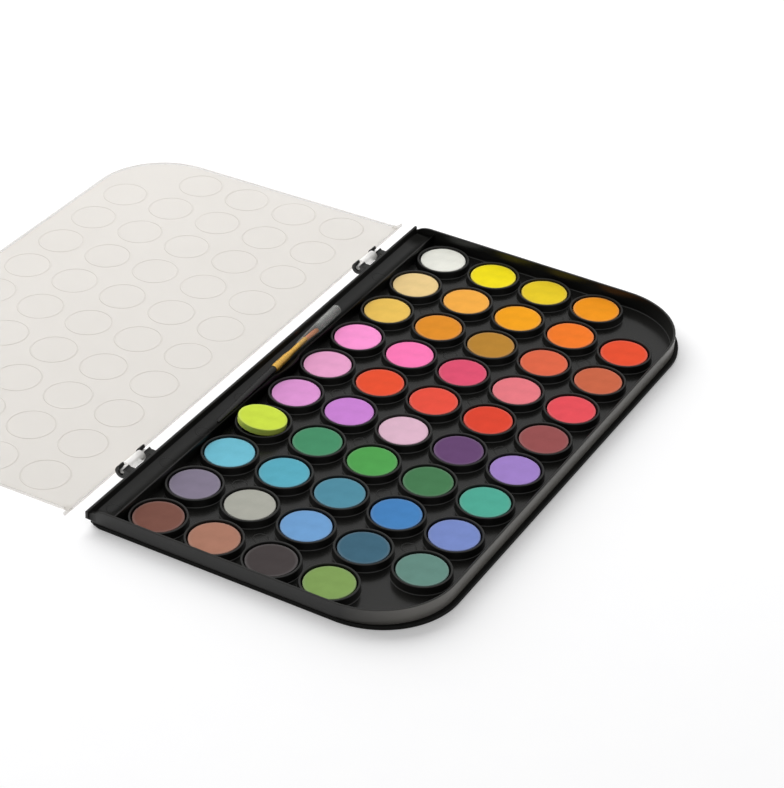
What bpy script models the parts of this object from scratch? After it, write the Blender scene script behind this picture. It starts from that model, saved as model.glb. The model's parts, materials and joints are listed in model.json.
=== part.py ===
"""Watercolour paint box with forty-eight round cakes, a frosted snap-on lid and a capped brush.

Metres, +Z up, the table at Z = 0.  X runs across the box, from the open lid (-X) to the rounded
side of the tray (+X).  Y runs along the hinge, with the first row of cakes at the far end (+Y).
The lid lies open, and the box is centred on the origin.
"""

import math

import bmesh
import bpy
from mathutils import Matrix, Vector

# Grid of cakes
PITCH = 0.029
COLUMN_COUNT = 5
ROW_COUNT = 10
CAKE_RADIUS = 0.0115
CAKE_THICKNESS = 0.0032
SEAT_GAP = 0.0003

# Tray
TRAY_HEIGHT = 0.0093
FLOOR_THICKNESS = 0.0008
WALL_THICKNESS = 0.0012
FLANGE_END_REACH = 0.0003
FLANGE_SIDE_REACH = 0.0021
FLANGE_THICKNESS = 0.0020
HINGE_WALL_TO_FIRST_COLUMN = 0.0251
END_WALL_TO_FIRST_ROW = 0.0167
ROUND_SIDE_TO_LAST_COLUMN = 0.0200
HINGE_CORNER_RADIUS = 0.0020
HINGE_FOOT_RADIUS = 0.0085
HINGE_ANKLE_RADIUS = 0.0035
ROUND_CORNER_RADIUS = 0.0385
END_WALL_DROP = 0.0024
END_WALL_DROP_LENGTH = 0.0074
HINGE_STRIP_NEAR_REACH = 0.0025
HINGE_STRIP_FAR_SETBACK = 0.0010
HINGE_STRIP_HEIGHT = 0.0043

# Cup rings
CUP_INNER_RADIUS = 0.0123
CUP_WALL = 0.0011
CUP_HEIGHT = 0.0041

# Brush channel
RIB_TO_FIRST_COLUMN = 0.0142
RIB_THICKNESS = 0.0009
RIB_TOP = 0.0070
TROUGH_BOTTOM = 0.0040
TROUGH_RADIUS = 0.0070
TROUGH_END_SETBACK = 0.0030
TROUGH_OVERLAP = 0.0003
RECESS_RADIUS = 0.0348
RECESS_DEPTH = 0.0020
RECESS_FLOOR = 0.0052

# Hinge
HINGE_AXIS_TO_WALL = 0.0052
HINGE_AXIS_HEIGHT = 0.0071
HINGE_FROM_MIDDLE = 0.1050
CLIP_SPACING = 0.0164
CLIP_WIDTH = 0.0040
CLIP_WALL = 0.0017
CLIP_NECK_HALF_HEIGHT = 0.0019
PIN_RADIUS = 0.0012
PIN_CLEARANCE = 0.0003
PIN_SETBACK = 0.0008
LUG_SIDE_CLEARANCE = 0.0004
LUG_BARREL_RADIUS = 0.0026

# Lid
LID_CLOSING_GAP = 0.0003
LID_RIM_DEPTH = 0.0006
LID_RIM_WIDTH = 0.0012
LID_PLATE_THICKNESS = 0.0010
LID_REST_CLEARANCE = 0.0001
LID_HORN_REACH = 0.0035
LID_DISC_RADIUS = 0.0110
LID_DISC_HEIGHT = 0.0002

# Loose cake
LOOSE_CAKE_LIFT = 0.0028
LOOSE_CAKE_SHIFT = 0.0006

# Brush
BRUSH_AXIS_HEIGHT = 0.0072
FERRULE_BASE_FROM_MIDDLE = 0.0066
FERRULE_BASE_TO_FIRST_COLUMN = 0.0176
FERRULE_LENGTH = 0.0305
FERRULE_BASE_RADIUS = 0.0019
FERRULE_NECK_RADIUS = 0.0012
FERRULE_STRAIGHT_LENGTH = 0.0105
FERRULE_TAPER_END = 0.0175
FERRULE_WALL = 0.0003
FERRULE_BORE_DEPTH = 0.0100
CRIMP_PLACES = (0.0022, 0.0046)
CRIMP_HALF_WIDTH = 0.0007
CRIMP_HEIGHT = 0.0002
HANDLE_LENGTH = 0.0520
HANDLE_SHOULDER_RADIUS = 0.0017
HANDLE_BELLY_RADIUS = 0.0015
HANDLE_TIP_RADIUS = 0.0008
HANDLE_TANG_LENGTH = 0.0090
HANDLE_TANG_CLEARANCE = 0.0004
BRISTLE_LENGTH = 0.0117
BRISTLE_SLICE = 0.0006
BRISTLE_HALF_WIDTH = 0.0010
BRISTLE_HALF_THICKNESS = 0.0007
BRISTLE_TIP_HALF_WIDTH = 0.0015
BRISTLE_TIP_HALF_THICKNESS = 0.0006
CAP_RADIUS = 0.00245
CAP_MOUTH_RADIUS = 0.0018
CAP_FLARE_LENGTH = 0.0220
CAP_WALL = 0.0003
CAP_LENGTH = 0.0394
CAP_OVERLAP = 0.0069
CAP_END_ROUND = 0.0008

# One overrun for every cut
OVERRUN = 0.0020

# Angles and counts
BRUSH_TURN_DEGREES = 2.0
CLIP_MOUTH_DEGREES = (58.0, 112.0)
LUG_BARREL_DEGREES = (130.0, 400.0)
LOOSE_CAKE_TILT_DEGREES = 8.8
LOOSE_CAKE_HEADING_DEGREES = 235.0
CORNER_STEPS = 5
ROUND_CORNER_STEPS = 10
CIRCLE_SIDES = 16
DISC_SIDES = 12
BRISTLE_COLUMNS = 15
BRISTLE_ROWS = 10
BRISTLE_THICKNESS_SHARE = 0.62

# Places worked out from the sizes above
ROW_SPAN = (ROW_COUNT - 1) * PITCH
COLUMN_SPAN = (COLUMN_COUNT - 1) * PITCH
HALF_LENGTH = ROW_SPAN / 2 + END_WALL_TO_FIRST_ROW
TRAY_WIDTH = HINGE_WALL_TO_FIRST_COLUMN + COLUMN_SPAN + ROUND_SIDE_TO_LAST_COLUMN
LID_REACH = HINGE_AXIS_TO_WALL + TRAY_WIDTH
LID_RIM_RISE = TRAY_HEIGHT + LID_CLOSING_GAP - HINGE_AXIS_HEIGHT
LID_TOP_RISE = LID_RIM_RISE + LID_RIM_DEPTH + LID_PLATE_THICKNESS
LID_DROOP = (
    math.asin((HINGE_AXIS_HEIGHT - LID_REST_CLEARANCE) / math.hypot(LID_REACH, LID_TOP_RISE))
    - math.atan2(LID_TOP_RISE, LID_REACH)
)
LID_OPEN_TURN = -(math.pi + LID_DROOP)
LID_OPEN_REACH = LID_REACH * math.cos(LID_DROOP) - LID_RIM_RISE * math.sin(LID_DROOP)
HINGE_X = (LID_OPEN_REACH - LID_REACH - FLANGE_SIDE_REACH) / 2
HINGE_WALL_X = HINGE_X + HINGE_AXIS_TO_WALL
ROUND_SIDE_X = HINGE_WALL_X + TRAY_WIDTH
FIRST_COLUMN_X = HINGE_WALL_X + HINGE_WALL_TO_FIRST_COLUMN
RIB_X = FIRST_COLUMN_X - RIB_TO_FIRST_COLUMN
RIB_NEAR_X = RIB_X + RIB_THICKNESS / 2
RIB_FAR_X = RIB_X - RIB_THICKNESS / 2
CHANNEL_NEAR_X = HINGE_WALL_X + WALL_THICKNESS
CHANNEL_HALF_WIDTH = (RIB_FAR_X - CHANNEL_NEAR_X) / 2
TROUGH_X = (RIB_FAR_X + CHANNEL_NEAR_X) / 2
TROUGH_AXIS_Z = TROUGH_BOTTOM + TROUGH_RADIUS
TROUGH_EDGE_Z = TROUGH_AXIS_Z - math.sqrt(TROUGH_RADIUS**2 - CHANNEL_HALF_WIDTH**2)
RECESS_CENTRE_X = RIB_NEAR_X + RECESS_DEPTH - RECESS_RADIUS
CAKE_BOTTOM = FLOOR_THICKNESS + SEAT_GAP
CLIP_INNER_RADIUS = PIN_RADIUS + PIN_CLEARANCE
CLIP_OUTER_RADIUS = CLIP_INNER_RADIUS + CLIP_WALL
LUG_HALF_WIDTH = (CLIP_SPACING - CLIP_WIDTH) / 2 - LUG_SIDE_CLEARANCE
PIN_HALF_LENGTH = (CLIP_SPACING + CLIP_WIDTH) / 2 - PIN_SETBACK
FERRULE_BASE_X = FIRST_COLUMN_X - FERRULE_BASE_TO_FIRST_COLUMN
SIDES = (-1, 1)

# Paint names down each column, from the far row to the near row; None has no cake
COLUMN_PAINTS = (
    ("white", "cream", "ochre", "pink", "light_rose",
     "orchid", "lime", "sky_blue", "grey_purple", "brown"),
    ("lemon", "light_orange", "amber", "hot_pink", "vermilion",
     "violet", "green", "turquoise", "grey", "tan"),
    ("yellow", "orange_yellow", "raw_sienna", "crimson", "red",
     "pale_lilac", "mid_green", "teal", "blue", "black"),
    ("golden", "orange", "terracotta", "coral", "scarlet",
     "deep_purple", "dark_green", "cobalt", "slate_blue", "olive"),
    (None, "red_orange", "sienna", "rose_red", "maroon",
     "lavender", "sea_green", "periwinkle", "grey_green", None),
)
LOOSE_PAINT = "lime"

# Paint chart by hue, to the nearest ten: red, green and blue from 0 to 255
PAINT_COLOURS = {
    "white": (230, 230, 220), "cream": (230, 200, 140), "grey": (170, 170, 160), "black": (70, 60, 60),
    "lemon": (240, 220, 20), "yellow": (230, 200, 40), "golden": (240, 150, 20), "ochre": (230, 190, 90),
    "light_orange": (240, 170, 70), "orange_yellow": (240, 160, 30), "amber": (220, 140, 40),
    "orange": (240, 120, 40), "raw_sienna": (180, 130, 50), "sienna": (200, 100, 70),
    "terracotta": (220, 100, 70), "tan": (170, 120, 100), "brown": (120, 80, 70),
    "red_orange": (230, 80, 50), "vermilion": (230, 80, 50), "scarlet": (220, 70, 50),
    "red": (230, 80, 60), "rose_red": (230, 80, 90), "crimson": (220, 80, 110), "maroon": (150, 80, 80),
    "coral": (230, 120, 130), "pink": (250, 150, 210), "hot_pink": (250, 120, 180),
    "light_rose": (230, 160, 200), "pale_lilac": (220, 180, 200), "orchid": (220, 150, 210),
    "violet": (200, 130, 210), "lavender": (160, 130, 200), "grey_purple": (130, 120, 140),
    "deep_purple": (100, 70, 110), "periwinkle": (120, 140, 200), "cobalt": (70, 130, 190),
    "blue": (110, 160, 210), "sky_blue": (110, 190, 210), "slate_blue": (60, 100, 120),
    "teal": (80, 140, 160), "turquoise": (90, 170, 190), "sea_green": (80, 170, 150),
    "grey_green": (100, 140, 130), "green": (70, 140, 100), "mid_green": (80, 160, 80),
    "dark_green": (70, 120, 80), "olive": (130, 160, 90), "lime": (200, 220, 70),
}
BLACK_PLASTIC = (30, 30, 30)
FROSTED_PLASTIC = (230, 230, 220)
HANDLE_BLACK = (30, 30, 30)
GOLD = (220, 160, 60)
BRISTLE_BROWN = (190, 110, 60)
CLEAR_PLASTIC = (220, 220, 220)
SMOOTH_ANGLE = math.radians(32)


def clear_scene():
    for item in list(bpy.data.objects):
        bpy.data.objects.remove(item, do_unlink=True)


def linear(channel):
    """Linear value of one display channel from 0 to 255."""
    value = channel / 255
    if value <= 0.04045:
        return value / 12.92
    return ((value + 0.055) / 1.055) ** 2.4


def make_material(name, colour, roughness, metallic=0.0, alpha=1.0):
    material = bpy.data.materials.new(name)
    material.use_nodes = True
    shader = material.node_tree.nodes["Principled BSDF"]
    rgb = [linear(channel) for channel in colour]
    shader.inputs["Base Color"].default_value = (*rgb, 1.0)
    shader.inputs["Roughness"].default_value = roughness
    shader.inputs["Metallic"].default_value = metallic
    shader.inputs["Alpha"].default_value = alpha
    material.diffuse_color = (*rgb, alpha)
    return material


def mesh_from(bm, name):
    """Closed mesh with outward faces from a bmesh."""
    bmesh.ops.recalc_face_normals(bm, faces=bm.faces)
    mesh = bpy.data.meshes.new(name)
    bm.to_mesh(mesh)
    bm.free()
    return mesh


def add_object(name, mesh, material=None, parent=None):
    item = bpy.data.objects.new(name, mesh)
    bpy.context.scene.collection.objects.link(item)
    if material:
        mesh.materials.clear()
        mesh.materials.append(material)
    item.parent = parent
    return item


def add_empty(name, location):
    empty = bpy.data.objects.new(name, None)
    bpy.context.scene.collection.objects.link(empty)
    empty.location = location
    return empty


def shade(item):
    for face in item.data.polygons:
        face.use_smooth = True
    item.data.set_sharp_from_angle(angle=SMOOTH_ANGLE)


def arc(centre, radius, start, end, steps):
    """Points on an arc, angles in radians."""
    turns = [start + (end - start) * step / steps for step in range(steps + 1)]
    return [(centre[0] + radius * math.cos(t), centre[1] + radius * math.sin(t)) for t in turns]


def circle(centre, radius, sides):
    return arc(centre, radius, 0, 2 * math.pi, sides)[:-1]


def tray_outline(inset, hinge_radius=HINGE_CORNER_RADIUS, lip=0):
    """Outline of the tray wall moved inwards by inset, anticlockwise from the near round corner.

    hinge_radius rounds the two corners by the hinge, and lip moves the round side outwards.
    """
    small = hinge_radius - inset
    large = ROUND_CORNER_RADIUS - inset
    near_y = HALF_LENGTH - hinge_radius
    round_y = HALF_LENGTH - ROUND_CORNER_RADIUS
    small_x = HINGE_WALL_X + hinge_radius
    large_x = ROUND_SIDE_X - ROUND_CORNER_RADIUS + lip
    quarter = math.pi / 2
    points = arc((large_x, -round_y), large, -quarter, 0, ROUND_CORNER_STEPS)
    points += arc((large_x, round_y), large, 0, quarter, ROUND_CORNER_STEPS)
    points += arc((small_x, near_y), small, quarter, 2 * quarter, CORNER_STEPS)
    points += arc((small_x, -near_y), small, 2 * quarter, 3 * quarter, CORNER_STEPS)
    return points


def loft(loops):
    """Closed solid through loops of equal point counts, each a list of 3-D points."""
    bm = bmesh.new()
    rings = [[bm.verts.new(point) for point in loop] for loop in loops]
    count = len(rings[0])
    for lower, upper in zip(rings, rings[1:]):
        for i in range(count):
            j = (i + 1) % count
            bm.faces.new((lower[i], lower[j], upper[j], upper[i]))
    bm.faces.new(reversed(rings[0]))
    bm.faces.new(rings[-1])
    return bm


def raised(points, height):
    return [(x, y, height) for x, y in points]


def prism(points, bottom, top):
    """Upright solid over an outline in the XY plane."""
    return loft([raised(points, bottom), raised(points, top)])


def side_prism(points, near, far):
    """Solid along Y over an outline in the XZ plane."""
    return loft([[(x, y, z) for x, z in points] for y in (near, far)])


def tube_along_y(profile, sides):
    """Closed lathe about the Y axis from (distance, radius) pairs."""
    return loft([
        [(x, distance, z) for x, z in circle((0, 0), radius, sides)] for distance, radius in profile
    ])


def merge(meshes, name):
    """One mesh that holds several separate solids."""
    bm = bmesh.new()
    for mesh in meshes:
        bm.from_mesh(mesh)
        bpy.data.meshes.remove(mesh)
    return mesh_from(bm, name)


def combine(base, operation, other):
    """Mesh left by one exact Boolean between two meshes."""
    target = add_object("base_solid", base)
    tool = add_object("tool_solid", other)
    modifier = target.modifiers.new("combine", "BOOLEAN")
    modifier.operation = operation
    modifier.solver = "EXACT"
    modifier.object = tool
    graph = bpy.context.evaluated_depsgraph_get()
    result = bpy.data.meshes.new_from_object(target.evaluated_get(graph))
    for item in (target, tool):
        bpy.data.objects.remove(item, do_unlink=True)
    return result


def cake_place(column, row):
    return FIRST_COLUMN_X + column * PITCH, ROW_SPAN / 2 - row * PITCH


def cake_places():
    """Paint name and centre of every cake."""
    for column, names in enumerate(COLUMN_PAINTS):
        for row, paint in enumerate(names):
            if paint:
                yield paint, cake_place(column, row)


def tray_body():
    """Flange and filled wall, before the pockets are cut."""
    lip = FLANGE_SIDE_REACH - FLANGE_END_REACH
    foot = tray_outline(-FLANGE_END_REACH, HINGE_FOOT_RADIUS, lip)
    ledge = tray_outline(-FLANGE_END_REACH, HINGE_ANKLE_RADIUS, lip)
    loops = [raised(foot, 0), raised(ledge, FLANGE_THICKNESS)]
    loops.append(raised(tray_outline(0, HINGE_ANKLE_RADIUS), FLANGE_THICKNESS))
    loops.append(raised(tray_outline(0), TRAY_HEIGHT))
    return mesh_from(loft(loops), "tray_body")


def end_wall_cut():
    """Space over the end walls where their tops curve down towards the hinge wall."""
    radius = (END_WALL_DROP_LENGTH**2 + END_WALL_DROP**2) / (2 * END_WALL_DROP)
    turn = math.asin(END_WALL_DROP_LENGTH / radius)
    centre = (CHANNEL_NEAR_X + END_WALL_DROP_LENGTH, TRAY_HEIGHT - radius)
    top = TRAY_HEIGHT + OVERRUN
    points = [(centre[0], top), (CHANNEL_NEAR_X, top)]
    points += arc(centre, radius, math.pi / 2 + turn, math.pi / 2, CORNER_STEPS)
    reach = HALF_LENGTH + OVERRUN
    return mesh_from(side_prism(points, -reach, reach), "end_wall_cut")


def recess_arc(radius):
    """Bulge of the finger recess on the cake side of the rib, from the near end to the far end."""
    half_angle = math.acos((RIB_NEAR_X - RECESS_CENTRE_X) / RECESS_RADIUS)
    return arc((RECESS_CENTRE_X, 0), radius, -half_angle, half_angle, CORNER_STEPS)


def pan_outline():
    """Inside of the tray on the cake side of the rib."""
    inside = [point for point in tray_outline(WALL_THICKNESS) if point[0] > RIB_NEAR_X]
    end_y = HALF_LENGTH - WALL_THICKNESS
    return inside + [(RIB_NEAR_X, end_y)] + recess_arc(RECESS_RADIUS)[::-1] + [(RIB_NEAR_X, -end_y)]


def channel_outline():
    """Inside of the tray between the hinge wall and the rib."""
    inside = [point for point in tray_outline(WALL_THICKNESS) if point[0] < RIB_FAR_X]
    end_y = HALF_LENGTH - WALL_THICKNESS
    return [(RIB_FAR_X, end_y)] + inside + [(RIB_FAR_X, -end_y)]


def recess_outline():
    """Pocket of the finger recess, from the middle of the channel to its thin curved wall."""
    bulge = recess_arc(RECESS_RADIUS - RIB_THICKNESS)
    return [(TROUGH_X, bulge[0][1])] + bulge + [(TROUGH_X, bulge[-1][1])]


def build_tray(material):
    body = tray_body()
    above_rib = mesh_from(
        prism(tray_outline(WALL_THICKNESS), RIB_TOP, TRAY_HEIGHT + OVERRUN), "above_rib")
    pan = mesh_from(prism(pan_outline(), FLOOR_THICKNESS, TRAY_HEIGHT), "pan")
    channel = mesh_from(prism(channel_outline(), TROUGH_EDGE_Z, TRAY_HEIGHT), "channel")
    recess = mesh_from(prism(recess_outline(), RECESS_FLOOR, TRAY_HEIGHT), "recess")
    for cutter in (above_rib, pan, channel, recess, trough_mesh(), end_wall_cut()):
        body = combine(body, "DIFFERENCE", cutter)
    for addition in (cup_rings(), hinge_strip(), hinge_clips()):
        body = combine(body, "UNION", addition)
    tray = add_object("tray", body, material)
    shade(tray)
    return tray


def trough_section():
    """Rounded bottom and flat top of the trough, about the middle of its top."""
    spread = math.asin(CHANNEL_HALF_WIDTH / TROUGH_RADIUS)
    down = -math.pi / 2
    centre = (0, TROUGH_AXIS_Z - TROUGH_EDGE_Z)
    section = arc(centre, TROUGH_RADIUS, down - spread, down + spread, CIRCLE_SIDES)
    section.append((CHANNEL_HALF_WIDTH, TROUGH_OVERLAP))
    section.append((-CHANNEL_HALF_WIDTH, TROUGH_OVERLAP))
    return section


def trough_mesh():
    """Rounded trough under the channel, drawn up in steps towards both ends."""
    straight = HALF_LENGTH - WALL_THICKNESS - TROUGH_END_SETBACK - TROUGH_RADIUS
    section = trough_section()
    turns = [step * math.pi / 2 / CORNER_STEPS for step in range(1, CORNER_STEPS + 1)]
    places = [(-straight - TROUGH_RADIUS * math.cos(turn), math.sin(turn)) for turn in turns]
    places += [(-y, size) for y, size in reversed(places)]
    loops = []
    for y, size in places:
        loops.append([(TROUGH_X + x * size, y, TROUGH_EDGE_Z + z * size) for x, z in section])
    return mesh_from(loft(loops), "trough")


def cup_rings():
    """A ring wall around every cake, rooted in the floor."""
    rings = []
    outer_radius = CUP_INNER_RADIUS + CUP_WALL
    root = FLOOR_THICKNESS / 2
    top = FLOOR_THICKNESS + CUP_HEIGHT
    for _, centre in cake_places():
        bm = bmesh.new()
        loops = []
        section = [(outer_radius, root), (outer_radius, top)]
        section += [(CUP_INNER_RADIUS, top), (CUP_INNER_RADIUS, root)]
        for radius, height in section:
            points = circle(centre, radius, CIRCLE_SIDES)
            loops.append([bm.verts.new(point) for point in raised(points, height)])
        for lower, upper in zip(loops, loops[1:] + loops[:1]):
            for i in range(CIRCLE_SIDES):
                j = (i + 1) % CIRCLE_SIDES
                bm.faces.new((lower[i], lower[j], upper[j], upper[i]))
        rings.append(mesh_from(bm, "cup_ring"))
    return merge(rings, "cup_rings")


def hinge_edge(near, far):
    """Straight strip over the hinge wall in plan."""
    left, right = HINGE_WALL_X, CHANNEL_NEAR_X
    return [(left, near), (right, near), (right, far), (left, far)]


def hinge_strip():
    """Straight upper strip of the hinge wall, which sticks out past the near end wall."""
    points = hinge_edge(-HALF_LENGTH - HINGE_STRIP_NEAR_REACH, HALF_LENGTH - HINGE_STRIP_FAR_SETBACK)
    return mesh_from(prism(points, TRAY_HEIGHT - HINGE_STRIP_HEIGHT, TRAY_HEIGHT), "hinge_strip")


def clip_outline():
    """Hook around the hinge pin with its mouth upwards and a neck to the hinge wall."""
    mouth_start, mouth_end = (math.radians(angle) for angle in CLIP_MOUTH_DEGREES)
    axis = (HINGE_X, HINGE_AXIS_HEIGHT)
    neck_turn = math.asin(CLIP_NECK_HALF_HEIGHT / CLIP_OUTER_RADIUS)
    root_x = HINGE_WALL_X + WALL_THICKNESS / 2
    full = 2 * math.pi
    points = arc(axis, CLIP_OUTER_RADIUS, mouth_end, full - neck_turn, 2 * CORNER_STEPS)
    points.append((root_x, HINGE_AXIS_HEIGHT - CLIP_NECK_HALF_HEIGHT))
    points.append((root_x, HINGE_AXIS_HEIGHT + CLIP_NECK_HALF_HEIGHT))
    points += arc(axis, CLIP_OUTER_RADIUS, neck_turn, mouth_start, 1)
    points += arc(axis, CLIP_INNER_RADIUS, full + mouth_start, mouth_end, 2 * CORNER_STEPS)
    return points


def hinge_places():
    """Middle of each hinge along Y."""
    return [side * HINGE_FROM_MIDDLE for side in SIDES]


def hinge_clips():
    clips = []
    for middle in hinge_places():
        for side in SIDES:
            y = middle + side * CLIP_SPACING / 2
            clip = side_prism(clip_outline(), y - CLIP_WIDTH / 2, y + CLIP_WIDTH / 2)
            clips.append(mesh_from(clip, "hinge_clip"))
    return merge(clips, "hinge_clips")


def lug_outline():
    """Tongue from the lid's edge, rounded about the hinge axis, in the closed pose."""
    axis = (HINGE_X, HINGE_AXIS_HEIGHT)
    start, end = (math.radians(angle) for angle in LUG_BARREL_DEGREES)
    top = HINGE_AXIS_HEIGHT + LID_TOP_RISE
    bottom = HINGE_AXIS_HEIGHT + LID_RIM_RISE
    root_x = HINGE_WALL_X + LID_RIM_WIDTH / 2
    points = [(root_x, top), (HINGE_X, top)]
    points += arc(axis, LUG_BARREL_RADIUS, start, end, 2 * CORNER_STEPS)
    points += [(HINGE_X + LUG_BARREL_RADIUS, bottom), (root_x, bottom)]
    return points


def lid_plate():
    """Plate with a low rim, drawn closed over the tray."""
    outer = tray_outline(0)
    inner = tray_outline(LID_RIM_WIDTH)
    rim = HINGE_AXIS_HEIGHT + LID_RIM_RISE
    top = HINGE_AXIS_HEIGHT + LID_TOP_RISE
    loops = [raised(outer, top), raised(outer, rim)]
    loops += [raised(inner, rim), raised(inner, rim + LID_RIM_DEPTH)]
    return mesh_from(loft(loops), "lid_plate")


def lid_horns():
    """Straight hinge edge of the lid, which sticks out past both ends."""
    reach = HALF_LENGTH + LID_HORN_REACH
    rim = HINGE_AXIS_HEIGHT + LID_RIM_RISE
    return mesh_from(prism(hinge_edge(-reach, reach), rim, HINGE_AXIS_HEIGHT + LID_TOP_RISE), "lid_horns")


def lid_discs():
    """Low raised disc on the lid's inner face over every cake."""
    discs = []
    face = HINGE_AXIS_HEIGHT + LID_RIM_RISE + LID_RIM_DEPTH
    for _, centre in cake_places():
        points = circle(centre, LID_DISC_RADIUS, DISC_SIDES)
        disc = prism(points, face - LID_DISC_HEIGHT, face + LID_PLATE_THICKNESS / 2)
        discs.append(mesh_from(disc, "lid_disc"))
    return merge(discs, "lid_discs")


def lid_lugs():
    lugs = []
    for middle in hinge_places():
        lug = side_prism(lug_outline(), middle - LUG_HALF_WIDTH, middle + LUG_HALF_WIDTH)
        lugs.append(mesh_from(lug, "lid_lug"))
    return merge(lugs, "lid_lugs")


def lid_pins():
    pins = []
    for middle in hinge_places():
        points = circle((HINGE_X, HINGE_AXIS_HEIGHT), PIN_RADIUS, CIRCLE_SIDES)
        pin = side_prism(points, middle - PIN_HALF_LENGTH, middle + PIN_HALF_LENGTH)
        pins.append(mesh_from(pin, "lid_pin"))
    return merge(pins, "lid_pins")


def build_lid(material):
    """Lid drawn closed, then turned open about the hinge axis."""
    body = lid_plate()
    for addition in (lid_horns(), lid_discs(), lid_lugs(), lid_pins()):
        body = combine(body, "UNION", addition)
    body.transform(Matrix.Translation((-HINGE_X, 0, -HINGE_AXIS_HEIGHT)))
    body.transform(Matrix.Rotation(LID_OPEN_TURN, 4, "Y"))
    lid = add_object("lid", body, material)
    lid.location = (HINGE_X, 0, HINGE_AXIS_HEIGHT)
    shade(lid)
    return lid


def cake_mesh(name):
    """Round cake about its own middle."""
    half = CAKE_THICKNESS / 2
    return mesh_from(prism(circle((0, 0), CAKE_RADIUS, CIRCLE_SIDES), -half, half), name)


def build_cakes():
    for paint, (x, y) in cake_places():
        colour = PAINT_COLOURS[paint]
        material = make_material("paint_" + paint, colour, 0.8)
        cake = add_object("cake_" + paint, cake_mesh("cake_" + paint), material)
        cake.location = (x, y, CAKE_BOTTOM + CAKE_THICKNESS / 2)
        if paint == LOOSE_PAINT:
            lift_cake(cake)
        shade(cake)


def lift_cake(cake):
    """Tilts the loose cake on the edge of its cup."""
    heading = math.radians(LOOSE_CAKE_HEADING_DEGREES)
    toward = Vector((math.cos(heading), math.sin(heading), 0))
    hinge_line = Vector((toward.y, -toward.x, 0))
    turn = Matrix.Rotation(math.radians(LOOSE_CAKE_TILT_DEGREES), 4, hinge_line)
    cake.rotation_euler = turn.to_euler()
    cake.location += toward * LOOSE_CAKE_SHIFT
    cake.location.z += LOOSE_CAKE_LIFT


def build_handle(material, parent):
    """Tapered handle with a tang inside the ferrule."""
    tang_radius = FERRULE_BASE_RADIUS - FERRULE_WALL - HANDLE_TANG_CLEARANCE
    profile = [
        (-HANDLE_LENGTH, HANDLE_TIP_RADIUS / 2),
        (-HANDLE_LENGTH + HANDLE_TIP_RADIUS, HANDLE_TIP_RADIUS),
        (-HANDLE_LENGTH / 2, HANDLE_BELLY_RADIUS),
        (-HANDLE_SHOULDER_RADIUS, HANDLE_SHOULDER_RADIUS),
        (-SEAT_GAP, HANDLE_SHOULDER_RADIUS),
        (-SEAT_GAP, tang_radius),
        (HANDLE_TANG_LENGTH, tang_radius),
    ]
    mesh = mesh_from(tube_along_y(profile, DISC_SIDES), "brush_handle")
    shade(add_object("brush_handle", mesh, material, parent))


def build_ferrule(material, parent):
    """Metal sleeve with two crimped rings, a blind bore for the handle and a long narrow neck."""
    bore = FERRULE_BASE_RADIUS - FERRULE_WALL
    profile = [
        (FERRULE_BORE_DEPTH, bore / 2),
        (FERRULE_BORE_DEPTH, bore),
        (0, bore),
        (0, FERRULE_BASE_RADIUS),
    ]
    for place in CRIMP_PLACES:
        profile.append((place - CRIMP_HALF_WIDTH, FERRULE_BASE_RADIUS))
        profile.append((place, FERRULE_BASE_RADIUS + CRIMP_HEIGHT))
        profile.append((place + CRIMP_HALF_WIDTH, FERRULE_BASE_RADIUS))
    profile.append((FERRULE_STRAIGHT_LENGTH, FERRULE_BASE_RADIUS))
    profile.append((FERRULE_TAPER_END, FERRULE_NECK_RADIUS))
    profile.append((FERRULE_LENGTH, FERRULE_NECK_RADIUS))
    mesh = mesh_from(tube_along_y(profile, CIRCLE_SIDES), "brush_ferrule")
    shade(add_object("brush_ferrule", mesh, material, parent))


def bristle_grid(bm):
    """Slice that the bristles stand on; returns its front faces, two triangles to a grid cell."""
    rows = []
    for j in range(BRISTLE_ROWS + 1):
        z = (2 * j / BRISTLE_ROWS - 1) * BRISTLE_HALF_THICKNESS
        xs = [(2 * i / BRISTLE_COLUMNS - 1) * BRISTLE_HALF_WIDTH for i in range(BRISTLE_COLUMNS + 1)]
        rows.append([bm.verts.new((x, BRISTLE_SLICE, z)) for x in xs])
    front = []
    for lower, upper in zip(rows, rows[1:]):
        for i in range(BRISTLE_COLUMNS):
            front.append(bm.faces.new((lower[i], lower[i + 1], upper[i + 1])))
            front.append(bm.faces.new((lower[i], upper[i + 1], upper[i])))
    rim = rows[0] + [row[-1] for row in rows[1:]]
    rim += rows[-1][-2::-1] + [row[0] for row in rows[-2:0:-1]]
    back = [bm.verts.new((vert.co.x, 0, vert.co.z)) for vert in rim]
    for i in range(len(rim)):
        j = (i + 1) % len(rim)
        bm.faces.new((rim[i], back[i], back[j], rim[j]))
    bm.faces.new(back)
    return front


def add_strand(bm, corners):
    """One three-sided strand that stands on a triangle of the slice."""
    centre = sum((vert.co for vert in corners), Vector()) / len(corners)
    spread_x = BRISTLE_TIP_HALF_WIDTH / BRISTLE_HALF_WIDTH
    spread_z = BRISTLE_TIP_HALF_THICKNESS / BRISTLE_HALF_THICKNESS
    tip_y = BRISTLE_SLICE + BRISTLE_LENGTH
    places = [centre + (vert.co - centre) * BRISTLE_THICKNESS_SHARE for vert in corners]
    roots = [bm.verts.new(place) for place in places]
    tips = [bm.verts.new((place.x * spread_x, tip_y, place.z * spread_z)) for place in places]
    for lower, upper in ((corners, roots), (roots, tips)):
        for i in range(len(corners)):
            j = (i + 1) % len(corners)
            bm.faces.new((lower[i], lower[j], upper[j], upper[i]))
    bm.faces.new(tips)


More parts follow.
